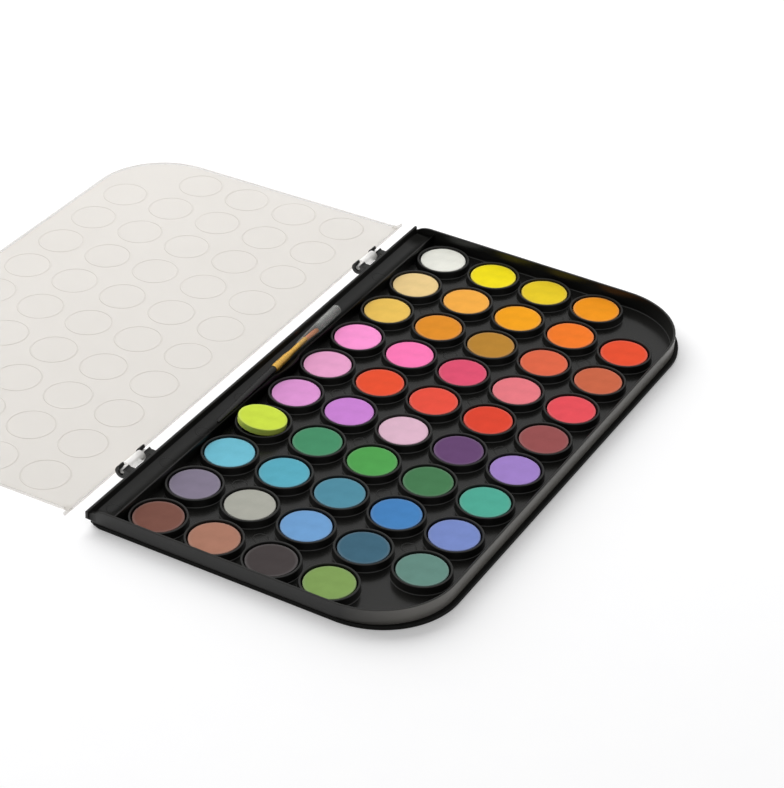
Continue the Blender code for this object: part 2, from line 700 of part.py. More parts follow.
def build_bristles(material, parent):
    """Flat tuft: a slice with one three-sided strand on each triangle of its front."""
    bm = bmesh.new()
    front = bristle_grid(bm)
    for face in front:
        add_strand(bm, list(face.verts))
    bmesh.ops.delete(bm, geom=front, context="FACES_ONLY")
    bristles = add_object("brush_bristles", mesh_from(bm, "brush_bristles"), material, parent)
    bristles.location = (0, FERRULE_LENGTH + SEAT_GAP, 0)


def build_cap(material, parent):
    """Clear sleeve that flares from a narrow mouth on the ferrule's neck and is closed at its end."""
    inner = CAP_RADIUS - CAP_WALL
    profile = [
        (CAP_LENGTH - CAP_WALL, inner / 2),
        (CAP_LENGTH - CAP_WALL, inner),
        (CAP_FLARE_LENGTH, inner),
        (0, CAP_MOUTH_RADIUS - CAP_WALL),
        (0, CAP_MOUTH_RADIUS),
        (CAP_FLARE_LENGTH, CAP_RADIUS),
        (CAP_LENGTH - CAP_END_ROUND, CAP_RADIUS),
        (CAP_LENGTH, CAP_RADIUS - CAP_END_ROUND),
    ]
    mesh = mesh_from(tube_along_y(profile, CIRCLE_SIDES), "brush_cap")
    cap = add_object("brush_cap", mesh, material, parent)
    cap.location = (0, FERRULE_LENGTH - CAP_OVERLAP, 0)
    shade(cap)


def build_brush():
    brush = add_empty("brush", (FERRULE_BASE_X, -FERRULE_BASE_FROM_MIDDLE, BRUSH_AXIS_HEIGHT))
    brush.rotation_euler = (0, 0, math.radians(BRUSH_TURN_DEGREES))
    build_handle(make_material("handle_black", HANDLE_BLACK, 0.35), brush)
    build_ferrule(make_material("ferrule_gold", GOLD, 0.3, metallic=1.0), brush)
    build_bristles(make_material("bristle_brown", BRISTLE_BROWN, 0.6), brush)
    build_cap(make_material("cap_clear", CLEAR_PLASTIC, 0.15, alpha=0.35), brush)


def main():
    clear_scene()
    build_tray(make_material("tray_black", BLACK_PLASTIC, 0.4))
    build_lid(make_material("lid_frosted", FROSTED_PLASTIC, 0.5))
    build_cakes()
    build_brush()


main()
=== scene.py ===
"""Looks of the watercolour paint box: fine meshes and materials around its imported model.

Metres, +Z up, the table at Z = 0.  The tray stands at +X, the open lid lies at -X, and the brush
channel runs along Y beside the hinge wall.
"""

import json
import math
import random

import bmesh
import bpy
from mathutils import Matrix, Vector, noise

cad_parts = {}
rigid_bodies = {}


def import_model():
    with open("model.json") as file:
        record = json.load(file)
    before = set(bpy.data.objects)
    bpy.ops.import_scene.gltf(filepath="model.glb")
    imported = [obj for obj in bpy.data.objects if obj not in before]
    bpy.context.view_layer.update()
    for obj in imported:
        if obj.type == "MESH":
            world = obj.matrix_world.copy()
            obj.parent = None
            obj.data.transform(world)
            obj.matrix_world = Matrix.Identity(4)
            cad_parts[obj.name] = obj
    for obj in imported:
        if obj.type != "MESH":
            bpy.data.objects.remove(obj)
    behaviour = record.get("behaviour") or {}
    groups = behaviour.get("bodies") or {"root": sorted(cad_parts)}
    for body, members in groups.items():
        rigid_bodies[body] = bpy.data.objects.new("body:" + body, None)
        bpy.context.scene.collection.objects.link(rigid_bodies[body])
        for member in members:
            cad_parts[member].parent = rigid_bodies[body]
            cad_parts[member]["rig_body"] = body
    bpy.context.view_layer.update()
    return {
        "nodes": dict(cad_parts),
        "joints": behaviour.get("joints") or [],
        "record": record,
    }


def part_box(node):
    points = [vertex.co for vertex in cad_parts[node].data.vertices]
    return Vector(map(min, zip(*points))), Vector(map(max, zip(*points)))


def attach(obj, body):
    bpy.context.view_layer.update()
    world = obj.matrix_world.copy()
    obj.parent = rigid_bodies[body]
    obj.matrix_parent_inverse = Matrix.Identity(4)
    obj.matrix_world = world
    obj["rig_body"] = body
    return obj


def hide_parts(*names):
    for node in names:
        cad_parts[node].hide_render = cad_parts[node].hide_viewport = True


# Tray walls
TRAY_HEIGHT = 0.0093
FLOOR_THICKNESS = 0.0008
WALL_THICKNESS = 0.0012
FLANGE_END_REACH = 0.0003
FLANGE_SIDE_REACH = 0.0021
FLANGE_THICKNESS = 0.0020
FLANGE_CAP_HEIGHT = 0.0003
WALL_CAP_HEIGHT = 0.0005
HINGE_CORNER_RADIUS = 0.0020
HINGE_FOOT_RADIUS = 0.0060
HINGE_ANKLE_RADIUS = 0.0022
ROUND_CORNER_RADIUS = 0.0385
END_WALL_DROP = 0.0024
END_WALL_DROP_LENGTH = 0.0074
DROP_BASE = 0.0045
EDGE_ROUND = 0.00025
FLOOR_FILLET = 0.0007
HINGE_STRIP_NEAR_REACH = 0.0028
HINGE_STRIP_FAR_SETBACK = 0.0018
HINGE_STRIP_HEIGHT = 0.0038
HINGE_WEB_FILLET = 0.0026
HINGE_WEB_TOP_DROP = 0.0016
HINGE_WEB_TIP_HEIGHT = 0.0024
HINGE_WEB_ROOT_HEIGHT = 0.0048
PROUD = 0.00002
SUNK = 0.0002

# Cup rings
CUP_INNER_RADIUS = 0.0123
CUP_WALL = 0.0011
CUP_HEIGHT = 0.0041
CUP_FILLET = 0.0005
CUP_LIP_ROUND = 0.0004

# Brush channel
RIB_TO_FIRST_COLUMN = 0.0142
RIB_THICKNESS = 0.0009
RIB_TOP = 0.0070
TROUGH_BOTTOM = 0.0040
TROUGH_RADIUS = 0.0070
TROUGH_END_SETBACK = 0.0030
RECESS_RADIUS = 0.0348
RECESS_DEPTH = 0.0020
RECESS_FLOOR = 0.0052

# Moulding marks: rings left by the ejector pins
MARK_RADIUS = 0.0033
MARK_WIDTH = 0.00035
MARK_HEIGHT = 0.00010
MARK_SECTION = ((-1.0, -0.5), (-0.5, 1.0), (0.5, 1.0), (1.0, -0.5))
CHANNEL_MARKS_Y = (-0.1363, -0.0943, -0.0653, -0.0319, 0.0980)
FLOOR_MARK_COLUMNS = 4
FLOOR_MARK_EVERY = 3

# Hinge
HINGE_AXIS_TO_WALL = 0.0052
HINGE_FROM_MIDDLE = 0.1050
CLIP_SPACING = 0.0164
CLIP_WIDTH = 0.0040
CLIP_WALL = 0.0017
CLIP_NECK_HALF_HEIGHT = 0.0019
PIN_RADIUS = 0.0012
PIN_CLEARANCE = 0.0003
PIN_SETBACK = 0.0008
LUG_SIDE_CLEARANCE = 0.0004
LUG_BARREL_RADIUS = 0.0026
SMALL_BEVEL = 0.0002

# Lid
LID_CLOSING_GAP = 0.0003
LID_RIM_DEPTH = 0.0006
LID_RIM_WIDTH = 0.0012
LID_PLATE_THICKNESS = 0.0010
LID_ROUND = 0.0003
LID_HORN_REACH = 0.0035
LID_HORN_WIDTH = 0.0009
LID_HORN_FILLET = 0.0022
LID_RING_RADIUS = 0.0114
LID_RING_HALF_WIDTH = 0.00050
LID_RING_HEIGHT = 0.00012

# Cakes
CAKE_EDGE_ROUND = 0.00035
CAKE_UNEVENNESS = 0.00006
CAKE_NOISE_SCALE = 180.0

# Brush
BRUSH_AXIS_HEIGHT = 0.0069
FERRULE_BASE_FROM_MIDDLE = 0.0066
FERRULE_BASE_TO_FIRST_COLUMN = 0.0173
FERRULE_LENGTH = 0.0305
FERRULE_BASE_RADIUS = 0.0019
FERRULE_NECK_RADIUS = 0.00135
FERRULE_STRAIGHT_LENGTH = 0.0105
FERRULE_TAPER_END = 0.0180
FERRULE_WALL = 0.0003
CRIMP_PLACES = (0.0022, 0.0046)
CRIMP_HALF_WIDTH = 0.0007
CRIMP_HEIGHT = 0.00015
HANDLE_LENGTH = 0.0520
HANDLE_SHOULDER_RADIUS = 0.0017
HANDLE_TIP_RADIUS = 0.0008
HANDLE_TIP_START_SHARE = 0.98
HANDLE_SWELL_POWER = 0.8
BRISTLE_LENGTH = 0.0120
BRISTLE_ROOT_SINK = 0.0010
BRISTLE_HALF_WIDTH = 0.00115
BRISTLE_HALF_THICKNESS = 0.0009
BRISTLE_TIP_HALF_WIDTH = 0.0013
BRISTLE_TIP_ASIDE = 0.00050
BRISTLE_TIP_SAG = 0.00025
HAIR_RADIUS = 0.00005
HAIR_TAPER_SHARE = 0.7
HAIR_BELLY_SHARE = 0.10
HAIR_RANDOM_SHARE = 0.10
HAIR_OUTER_SHARE = 0.12
CAP_RADIUS = 0.00255
CAP_MOUTH_RADIUS = 0.0018
CAP_FLARE_LENGTH = 0.0240
CAP_WALL = 0.00025
CAP_LENGTH = 0.0394
CAP_OVERLAP = 0.0069
CAP_END_ROUND = 0.0009
CAP_LEAST_BORE = 0.0001

# Stage
FLOOR_HALF_SIZE = 6.0
FLOOR_DROP = 0.0001
WINDOW_DISTANCE = 1.5
WINDOW_WIDTH = 3.45
WINDOW_HEIGHT = 2.3
WINDOW_BOTTOM = 0.10
WINDOW_POWER = 96.0
WINDOW_HEADING_DEGREES = 141.0

# Angles and counts
BRUSH_TURN_DEGREES = 1.9
CLIP_MOUTH_DEGREES = (58.0, 112.0)
LUG_BARREL_DEGREES = (130.0, 400.0)
LOOSE_CAKE_TILT_DEGREES = 8.8
LOOSE_CAKE_HEADING_DEGREES = 235.0
LOOSE_CAKE = "cake_lime"
SMOOTH_ANGLE = math.radians(40)
CORNER_STEPS = 14
END_RUN_STEPS = 16
ROUND_CORNER_STEPS = 40
ROUND_STEPS = 5
CIRCLE_SIDES = 72
PIN_SIDES = 32
BRUSH_SIDES = 40
CHANNEL_COLUMNS = 30
CHANNEL_ROWS = 260
HANDLE_STEPS = 24
HANDLE_TIP_STEPS = 6
CRIMP_STEPS = 8
TAPER_STEPS = 16
HAIR_COUNT = 900
HAIR_STEPS = 5
HAIR_SIDES = 3
HAIR_SEED = 11
CAP_STEPS = 20
CAP_END_STEPS = 6
BEVEL_SEGMENTS = 3
CAKE_RINGS = 9
SIDES = (-1, 1)

# Camera, measured across from the middle of the first column of cakes
CAMERA_FROM_COLUMN = 0.51037
CAMERA_Y = -0.87929
CAMERA_Z = 0.67754
TARGET_FROM_COLUMN = 0.03561
TARGET_Y = 0.01456
CAMERA_ROLL_DEGREES = 2.743
CAMERA_LENS = 117.85
CAMERA_SENSOR = 36.0
CAMERA_NEAREST = 0.01
CAMERA_FARTHEST = 50.0

# Looks: colours are linear, waves are noise waves to a metre, a bump is its strength and depth
WHITE = (1.0, 1.0, 1.0, 1.0)
FULL = (0.0, 1.0)
SOFT_CONTRAST = (0.3, 0.7)
SHARP_CONTRAST = (0.35, 0.65)

BLACK_DARK = (0.0060, 0.0062, 0.0056)
BLACK_PALE = (0.0120, 0.0115, 0.0100)
BLACK_CLOUD_WAVES = 35.0
BLACK_GRAIN_WAVES = 2600.0
BLACK_ROUGHNESS = (0.30, 0.42)
BLACK_BUMP = (0.12, 0.00006)
DUST_COLOUR = (0.060, 0.058, 0.052)
DUST_WAVES = 900.0
DUST_COVER = (0.66, 0.74)
DUST_STRENGTH = 0.35

# Painted reflection: grey-brown base colour on the round-cornered side's outward faces, in place of
# the bright table they reflect
PAINTED_REFLECTION_DARK = (0.160, 0.153, 0.140)
PAINTED_REFLECTION_PALE = (0.190, 0.182, 0.168)
PAINTED_REFLECTION_WAVES = 90.0
PAINTED_REFLECTION_FACING = (0.10, 0.80)
PAINTED_REFLECTION_FROM_X = 0.1000
PAINTED_REFLECTION_FADE = 0.0300
FLOOR_FACING = (0.90, 0.99)
FLOOR_ROUGHNESS_SHARE = 0.62

# Painted shade in the brush channel: a metallic share darkens the floor and rib beside the finger
# recess and at the far end
PAINTED_SHADE_SIDE_START = 0.0008
PAINTED_SHADE_SIDE_END = 0.0032
PAINTED_SHADE_NEAR_Y = -0.0900
PAINTED_SHADE_FAR_Y = 0.0950
PAINTED_SHADE_FADE = 0.0250
PAINTED_SHADE_END_Y = 0.1330
PAINTED_SHADE_METALLIC = 0.9

# Flange: darker colour and low specular level are painted shade along the tray's foot
FLANGE_DARK = (0.0040, 0.0040, 0.0038)
FLANGE_PALE = (0.0090, 0.0088, 0.0080)
FLANGE_WAVES = 1600.0
FLANGE_ROUGHNESS = (0.55, 0.70)
FLANGE_BUMP = (0.20, 0.00008)
FLANGE_SPECULAR = 0.12

FROST_CLOUD_WAVES = 18.0
FROST_GRAIN_WAVES = 3200.0
FROST_ROUGHNESS = (0.50, 0.62)
FROST_BUMP = (0.10, 0.00005)
# Upright faces are made clearer so the white table lifts their shade: painted light
FROST_FACING = (0.4, 0.9)
UPRIGHT_DENSITY_SHARE = 0.60
LID_DARK = (0.590, 0.562, 0.520)
LID_PALE = (0.622, 0.594, 0.555)
LID_DENSITY = 0.50
# Lugs: the same frosted plastic, denser, with a paler colour that stands in for light on their shaded
# barrels: painted light
LUG_DARK = (0.890, 0.880, 0.860)
LUG_PALE = (0.930, 0.920, 0.905)
LUG_DENSITY = 0.60

PAINT_PATCH_WAVES = 140.0
PAINT_PATCH_SHADES = (0.95, 1.05)
PAINT_PATCH_BUMP = (0.25, 0.0004)
PAINT_GRAIN_WAVES = 5200.0
PAINT_GRAIN_SHADE = 0.82
PAINT_GRAIN_STRENGTH = 0.25
PAINT_GRAIN_BUMP = (0.30, 0.00008)
PAINT_EDGE_RADII = (0.0100, 0.0115)
PAINT_EDGE_STRENGTH = 0.30
CHALK_LEVEL = 0.55
CHALK_SHARE = 0.35
PAINT_ROUGHNESS = 0.9
PAINT_SPECULAR = 0.10
PAINT_SHEEN = 0.02

LACQUER_DARK = (0.006, 0.006, 0.006)
LACQUER_PALE = (0.014, 0.013, 0.012)
LACQUER_WAVES = 220.0
LACQUER_ROUGHNESS = (0.22, 0.34)
LACQUER_BUMP = (0.10, 0.0002)

GOLD_DARK = (0.98, 0.52, 0.08)
GOLD_PALE = (1.00, 0.63, 0.14)
GOLD_WAVES = 500.0
GOLD_LINE_WAVES = (30.0, 5000.0, 30.0)
GOLD_ROUGHNESS = (0.20, 0.36)
GOLD_BUMP = (0.15, 0.00005)
GOLD_METALLIC = 0.60

HAIR_DARK = (0.78, 0.280, 0.110)
HAIR_PALE = (1.00, 0.54, 0.28)
HAIR_WAVES = 1800.0
HAIR_ROUGHNESS = (0.35, 0.55)

CAP_DARK = (0.46, 0.47, 0.45)
CAP_PALE = (0.62, 0.63, 0.61)
CAP_WAVES = 400.0
CAP_ROUGHNESS = (0.10, 0.24)
CAP_BUMP = (0.06, 0.0002)
CAP_CLEAR_LENGTH = 0.0165
CAP_HAZY_LENGTH = 0.0200
CAP_CLEAR_ALPHA = 0.07
CAP_HAZY_ALPHA = (0.22, 0.34)
CAP_EDGE_FACING = (0.45, 0.95)
CAP_EDGE_ALPHA = 0.42

TABLE_DARK = (0.80, 0.80, 0.81)
TABLE_PALE = (0.82, 0.82, 0.82)
TABLE_WAVES = 60.0
TABLE_ROUGHNESS = 0.9
TABLE_LIFT = 0.225
SKY_HEIGHTS = (0.2, 0.9)
SKY_LEVELS = (0.28, 0.43)
MIRRORED_SKY_LEVELS = (0.38, 0.72)


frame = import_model()
joints = {joint["name"]: joint for joint in frame["joints"]}
slot_colours = {item["slot"]: item["base_color"] for item in frame["record"]["materials"]}

# Places worked out from the frame
tray_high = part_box("tray")[1]
HINGE_X, _, HINGE_Z = joints["lid_hinge"]["pos_m"]
LID_OPEN_TURN = -math.radians(joints["lid_hinge"]["range_deg"][1])
HINGE_WALL_X = HINGE_X + HINGE_AXIS_TO_WALL
ROUND_SIDE_X = tray_high.x - FLANGE_SIDE_REACH
HALF_LENGTH = tray_high.y - FLANGE_END_REACH
FLANGE_LIP = FLANGE_SIDE_REACH - FLANGE_END_REACH
CAKE_NODES = sorted(name for name in frame["nodes"] if name.startswith("cake_"))


def middle(node):
    low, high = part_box(node)
    return (low + high) / 2


FIRST_COLUMN_X = middle("cake_white").x
PITCH = middle("cake_lemon").x - FIRST_COLUMN_X
RIB_X = FIRST_COLUMN_X - RIB_TO_FIRST_COLUMN
RIB_FAR_X = RIB_X - RIB_THICKNESS / 2
CHANNEL_NEAR_X = HINGE_WALL_X + WALL_THICKNESS
DROP_X = CHANNEL_NEAR_X + END_WALL_DROP_LENGTH
DROP_RADIUS = (END_WALL_DROP_LENGTH**2 + END_WALL_DROP**2) / (2 * END_WALL_DROP)
CHANNEL_HALF_WIDTH = (RIB_FAR_X - CHANNEL_NEAR_X) / 2
TROUGH_X = (RIB_FAR_X + CHANNEL_NEAR_X) / 2
TROUGH_AXIS_Z = TROUGH_BOTTOM + TROUGH_RADIUS
TROUGH_EDGE_Z = TROUGH_AXIS_Z - math.sqrt(TROUGH_RADIUS**2 - CHANNEL_HALF_WIDTH**2)
RECESS_CENTRE_X = RIB_X + RIB_THICKNESS / 2 + RECESS_DEPTH - RECESS_RADIUS
RIB_CURVE_RADIUS = RECESS_RADIUS - RIB_THICKNESS / 2
RECESS_HALF_CHORD = math.sqrt(RIB_CURVE_RADIUS**2 - (RIB_X - RECESS_CENTRE_X) ** 2)
CHANNEL_END_Y = HALF_LENGTH - WALL_THICKNESS
CLIP_INNER_RADIUS = PIN_RADIUS + PIN_CLEARANCE
CLIP_OUTER_RADIUS = CLIP_INNER_RADIUS + CLIP_WALL
LUG_HALF_WIDTH = (CLIP_SPACING - CLIP_WIDTH) / 2 - LUG_SIDE_CLEARANCE
PIN_HALF_LENGTH = (CLIP_SPACING + CLIP_WIDTH) / 2 - PIN_SETBACK
LID_RIM_Z = TRAY_HEIGHT + LID_CLOSING_GAP
LID_FACE_Z = LID_RIM_Z + LID_RIM_DEPTH
LID_TOP_Z = LID_FACE_Z + LID_PLATE_THICKNESS
CUP_BASE = FLOOR_THICKNESS - SUNK
CUP_TOP = FLOOR_THICKNESS + CUP_HEIGHT


# Mesh helpers


def arc(centre, radius, start, end, steps):
    """Points on an arc, angles in radians."""
    turns = [start + (end - start) * step / steps for step in range(steps + 1)]
    return [(centre[0] + radius * math.cos(t), centre[1] + radius * math.sin(t)) for t in turns]


def circle(centre, radius, sides):
    return arc(centre, radius, 0, 2 * math.pi, sides)[:-1]


def rings(centre, section):
    """Level rings round a centre, one for each (radius, height) of a section."""
    return [[(x, y, z) for x, y in circle(centre, radius, CIRCLE_SIDES)] for radius, z in section]


def tray_outline(inset, hinge_radius=HINGE_CORNER_RADIUS, lip=0.0):
    """Outline of the tray wall moved inwards by inset, anticlockwise from the near round corner.

    hinge_radius rounds the two corners by the hinge, and lip moves the round side outwards.
    """
    small = hinge_radius - inset
    large = ROUND_CORNER_RADIUS - inset
    near_y = HALF_LENGTH - hinge_radius
    round_y = HALF_LENGTH - ROUND_CORNER_RADIUS
    end_y = HALF_LENGTH - inset
    small_x = HINGE_WALL_X + hinge_radius
    large_x = ROUND_SIDE_X - ROUND_CORNER_RADIUS + lip
    quarter = math.pi / 2
    run = [DROP_X + (small_x - DROP_X) * step / END_RUN_STEPS for step in range(END_RUN_STEPS)]
    points = arc((large_x, -round_y), large, -quarter, 0, ROUND_CORNER_STEPS)
    points += arc((large_x, round_y), large, 0, quarter, ROUND_CORNER_STEPS)
    points += [(x, end_y) for x in run]
    points += arc((small_x, near_y), small, quarter, 2 * quarter, CORNER_STEPS)
    points += arc((small_x, -near_y), small, 2 * quarter, 3 * quarter, CORNER_STEPS)
    points += [(x, -end_y) for x in reversed(run)]
    return points


def skin(bm, loops, closed=False):
    """Quads between neighbouring loops of equal point counts; closed joins the last to the first."""
    rows = [[bm.verts.new(point) for point in loop] for loop in loops]
    pairs = list(zip(rows, rows[1:]))
    if closed:
        pairs.append((rows[-1], rows[0]))
    count = len(rows[0])
    for lower, upper in pairs:
        for i in range(count):
            j = (i + 1) % count
            bm.faces.new((lower[i], lower[j], upper[j], upper[i]))
    return rows


def capped(bm, loops):
    """Solid through loops, with a flat cap at each end."""
    rows = skin(bm, loops)
    bm.faces.new(reversed(rows[0]))
    bm.faces.new(rows[-1])


def outline_solid(bm, section):
    """Solid whose section, (inset, height) pairs, runs round the tray's outline."""
    capped(bm, [[(x, y, z) for x, y in tray_outline(inset)] for inset, z in section])


def side_prism(bm, points, near, far):
    """Solid along Y over an outline in the XZ plane."""
    capped(bm, [[(x, y, z) for x, z in points] for y in (near, far)])


def finish_mesh(bm, name, material, body, bevel=None):
    """Object that rides on a body, shaded smooth between its sharp edges."""
    bmesh.ops.recalc_face_normals(bm, faces=bm.faces)
    mesh = bpy.data.meshes.new(name)
    bm.to_mesh(mesh)
    bm.free()
    item = bpy.data.objects.new(name, mesh)
    bpy.context.scene.collection.objects.link(item)
    mesh.materials.append(material)
    if bevel:
        modifier = item.modifiers.new("edges", "BEVEL")
        modifier.width = bevel
        modifier.segments = BEVEL_SEGMENTS
        modifier.limit_method = "ANGLE"
        modifier.angle_limit = SMOOTH_ANGLE
    mesh.shade_smooth()
    mesh.set_sharp_from_angle(angle=SMOOTH_ANGLE)
    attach(item, body)
    return item


# Node helpers


def new_material(name):
    material = bpy.data.materials.new(name)
    material.use_nodes = True
    tree = material.node_tree
    return material, tree, tree.nodes["Principled BSDF"]


def add_node(tree, kind, inputs=None, **settings):
    item = tree.nodes.new(kind)
    for key, value in settings.items():
        setattr(item, key, value)
    for key, value in (inputs or {}).items():
        item.inputs[key].default_value = value
    return item


def set_input(tree, socket, value):
    """Link a socket to an input, or set the input to a plain value."""
    if isinstance(value, bpy.types.NodeSocket):
        tree.links.new(value, socket)
    else:
        socket.default_value = value


def add_place(tree, output="Object"):
    """X, Y and Z sockets of the object's own coordinates, or of another texture coordinate."""
    place = add_node(tree, "ShaderNodeTexCoord")
    split = add_node(tree, "ShaderNodeSeparateXYZ")
    tree.links.new(place.outputs[output], split.inputs["Vector"])
    return split.outputs["X"], split.outputs["Y"], split.outputs["Z"]


def add_noise(tree, scale, detail=3.0, roughness=0.55):
    """Noise over the object's own coordinates; scale is in waves to a metre."""
    place = add_node(tree, "ShaderNodeTexCoord")
    texture = add_node(tree, "ShaderNodeTexNoise",
                       {"Scale": scale, "Detail": detail, "Roughness": roughness})
    tree.links.new(place.outputs["Object"], texture.inputs["Vector"])
    return texture.outputs["Fac"]


def add_range(tree, value, low, high, to_low, to_high):
    """Value mapped from one range to another and clamped."""
    item = add_node(tree, "ShaderNodeMapRange",
                    {"From Min": low, "From Max": high, "To Min": to_low, "To Max": to_high})
    tree.links.new(value, item.inputs["Value"])
    return item.outputs["Result"]


def add_mix(tree, factor, first, second):
    """Mix of two colours, each a socket or three numbers."""
    item = add_node(tree, "ShaderNodeMix", data_type="RGBA")
    for number, value in ((6, first), (7, second)):
        colour = value if isinstance(value, bpy.types.NodeSocket) else (*value[:3], 1.0)
        set_input(tree, item.inputs[number], colour)
    tree.links.new(factor, item.inputs[0])
    return item.outputs[2]


def add_blend(tree, factor, first, second):
    """Mix of two values, each a socket or a number."""
    item = add_node(tree, "ShaderNodeMix", data_type="FLOAT")
    set_input(tree, item.inputs[2], first)
    set_input(tree, item.inputs[3], second)
    tree.links.new(factor, item.inputs[0])
    return item.outputs[0]


def add_math(tree, operation, first, second=None):
    """Result of a maths operation on one or two sockets."""
    item = add_node(tree, "ShaderNodeMath", operation=operation)
    tree.links.new(first, item.inputs[0])
    if second:
        tree.links.new(second, item.inputs[1])
    return item.outputs[0]


def add_bump(tree, height, strength, distance, before=None):
    item = add_node(tree, "ShaderNodeBump", {"Strength": strength, "Distance": distance})
    tree.links.new(height, item.inputs["Height"])
    if before:
        tree.links.new(before, item.inputs["Normal"])
    return item.outputs["Normal"]


def shaded(colour, factor):
    return tuple(min(1.0, channel * factor) for channel in colour[:3])


# Materials


def moulded_black(name):
    """Satin moulded plastic with faint flow clouds, grain and a little dust."""
    material, tree, shader = new_material(name)
    clouds = add_noise(tree, BLACK_CLOUD_WAVES)
    grain = add_noise(tree, BLACK_GRAIN_WAVES, detail=2.0)
    dust = add_noise(tree, DUST_WAVES, detail=6.0, roughness=0.7)
    base = add_mix(tree, clouds, BLACK_DARK, BLACK_PALE)
    specks = add_range(tree, dust, *DUST_COVER, 0.0, DUST_STRENGTH)
    tree.links.new(add_mix(tree, specks, base, DUST_COLOUR), shader.inputs["Base Color"])
    rough = add_range(tree, clouds, *SOFT_CONTRAST, *BLACK_ROUGHNESS)
    tree.links.new(rough, shader.inputs["Roughness"])
    tree.links.new(add_bump(tree, grain, *BLACK_BUMP), shader.inputs["Normal"])
    return material, tree, shader


def black_plastic():
    return moulded_black("black_plastic")[0]


def wall_plastic():
    """The same plastic, glossier on the floor, with a painted grey-brown reflection on the outward
    faces of the round-cornered side.
    """
    material, tree, shader = moulded_black("wall_plastic")
    facing_x, _, facing_z = add_place(tree, "Normal")
    x, _, z = add_place(tree)
    base = shader.inputs["Base Color"].links[0].from_socket
    rough = shader.inputs["Roughness"].links[0].from_socket
    # Painted reflection: faces that look outwards past the middle of the tray take the grey-brown
    # colour
    outward = add_range(tree, facing_x, *PAINTED_REFLECTION_FACING, *FULL)
    beyond = add_range(tree, x, PAINTED_REFLECTION_FROM_X, PAINTED_REFLECTION_FROM_X + PAINTED_REFLECTION_FADE, *FULL)
    grey = add_mix(tree, add_noise(tree, PAINTED_REFLECTION_WAVES, detail=4.0), PAINTED_REFLECTION_DARK, PAINTED_REFLECTION_PALE)
    painted_reflection = add_math(tree, "MULTIPLY", outward, beyond)
    tree.links.new(add_mix(tree, painted_reflection, base, grey), shader.inputs["Base Color"])
    upward = add_range(tree, facing_z, *FLOOR_FACING, *FULL)
    low = add_range(tree, z, FLOOR_THICKNESS, CUP_TOP, 1.0, 0.0)
    share = add_range(tree, add_math(tree, "MULTIPLY", upward, low), *FULL, 1.0, FLOOR_ROUGHNESS_SHARE)
    tree.links.new(add_math(tree, "MULTIPLY", rough, share), shader.inputs["Roughness"])
    return material


def channel_plastic():
    """The same plastic with painted shade: its gloss is taken away beside the finger recess, where the
    brush and the recess throw shade, and at the channel's far end.

    Metallic black reflects next to nothing, so the metallic share takes the gloss away.
    """
    material, tree, shader = moulded_black("channel_plastic")
    x, y, _ = add_place(tree)
    # Painted shade: the far side of the trough beside the recess, and the channel's far end
    far_side = add_range(tree, x, TROUGH_X + PAINTED_SHADE_SIDE_START, TROUGH_X + PAINTED_SHADE_SIDE_END, *FULL)
    start = add_range(tree, y, PAINTED_SHADE_NEAR_Y, PAINTED_SHADE_NEAR_Y + PAINTED_SHADE_FADE, *FULL)
    stop = add_range(tree, y, PAINTED_SHADE_FAR_Y - PAINTED_SHADE_FADE, PAINTED_SHADE_FAR_Y, 1.0, 0.0)
    stretch = add_math(tree, "MULTIPLY", add_math(tree, "MULTIPLY", start, stop), far_side)
    end = add_range(tree, y, PAINTED_SHADE_END_Y, CHANNEL_END_Y - TROUGH_RADIUS, *FULL)
    painted_shade_share = add_range(tree, add_math(tree, "MAXIMUM", stretch, end), *FULL, 0.0, PAINTED_SHADE_METALLIC)
    tree.links.new(painted_shade_share, shader.inputs["Metallic"])
    return material


def flange_painted_shade_plastic():
    """Rough plastic of the flange's underside and edge, with a darker colour and little reflection as
    painted shade at the tray's foot.
    """
    material, tree, shader = new_material("flange_painted_shade_plastic")
    grain = add_noise(tree, FLANGE_WAVES, detail=4.0)
    tree.links.new(add_mix(tree, grain, FLANGE_DARK, FLANGE_PALE), shader.inputs["Base Color"])
    rough = add_range(tree, grain, *SOFT_CONTRAST, *FLANGE_ROUGHNESS)
    tree.links.new(rough, shader.inputs["Roughness"])
    tree.links.new(add_bump(tree, grain, *FLANGE_BUMP), shader.inputs["Normal"])
    # Painted shade: the low specular level keeps the flange dark
    shader.inputs["Specular IOR Level"].default_value = FLANGE_SPECULAR
    return material


def frosted_plastic(name, dark, pale, density):
    """Milky translucent plastic with a fine etched grain, clearer through its upright edges so that
    the white table shows through and lifts their shade: painted light.
    """
    material, tree, shader = new_material(name)
    clouds = add_noise(tree, FROST_CLOUD_WAVES)
    grain = add_noise(tree, FROST_GRAIN_WAVES, detail=2.0)
    tree.links.new(add_mix(tree, clouds, dark, pale), shader.inputs["Base Color"])
    rough = add_range(tree, grain, *SOFT_CONTRAST, *FROST_ROUGHNESS)
    tree.links.new(rough, shader.inputs["Roughness"])
    tree.links.new(add_bump(tree, grain, *FROST_BUMP), shader.inputs["Normal"])
    # Painted light: upright faces let more of the white table through, lifting their shade
    level = add_math(tree, "ABSOLUTE", add_place(tree, "Normal")[2])
    alpha = add_range(tree, level, *FROST_FACING, density * UPRIGHT_DENSITY_SHARE, density)
    tree.links.new(alpha, shader.inputs["Alpha"])
    return material


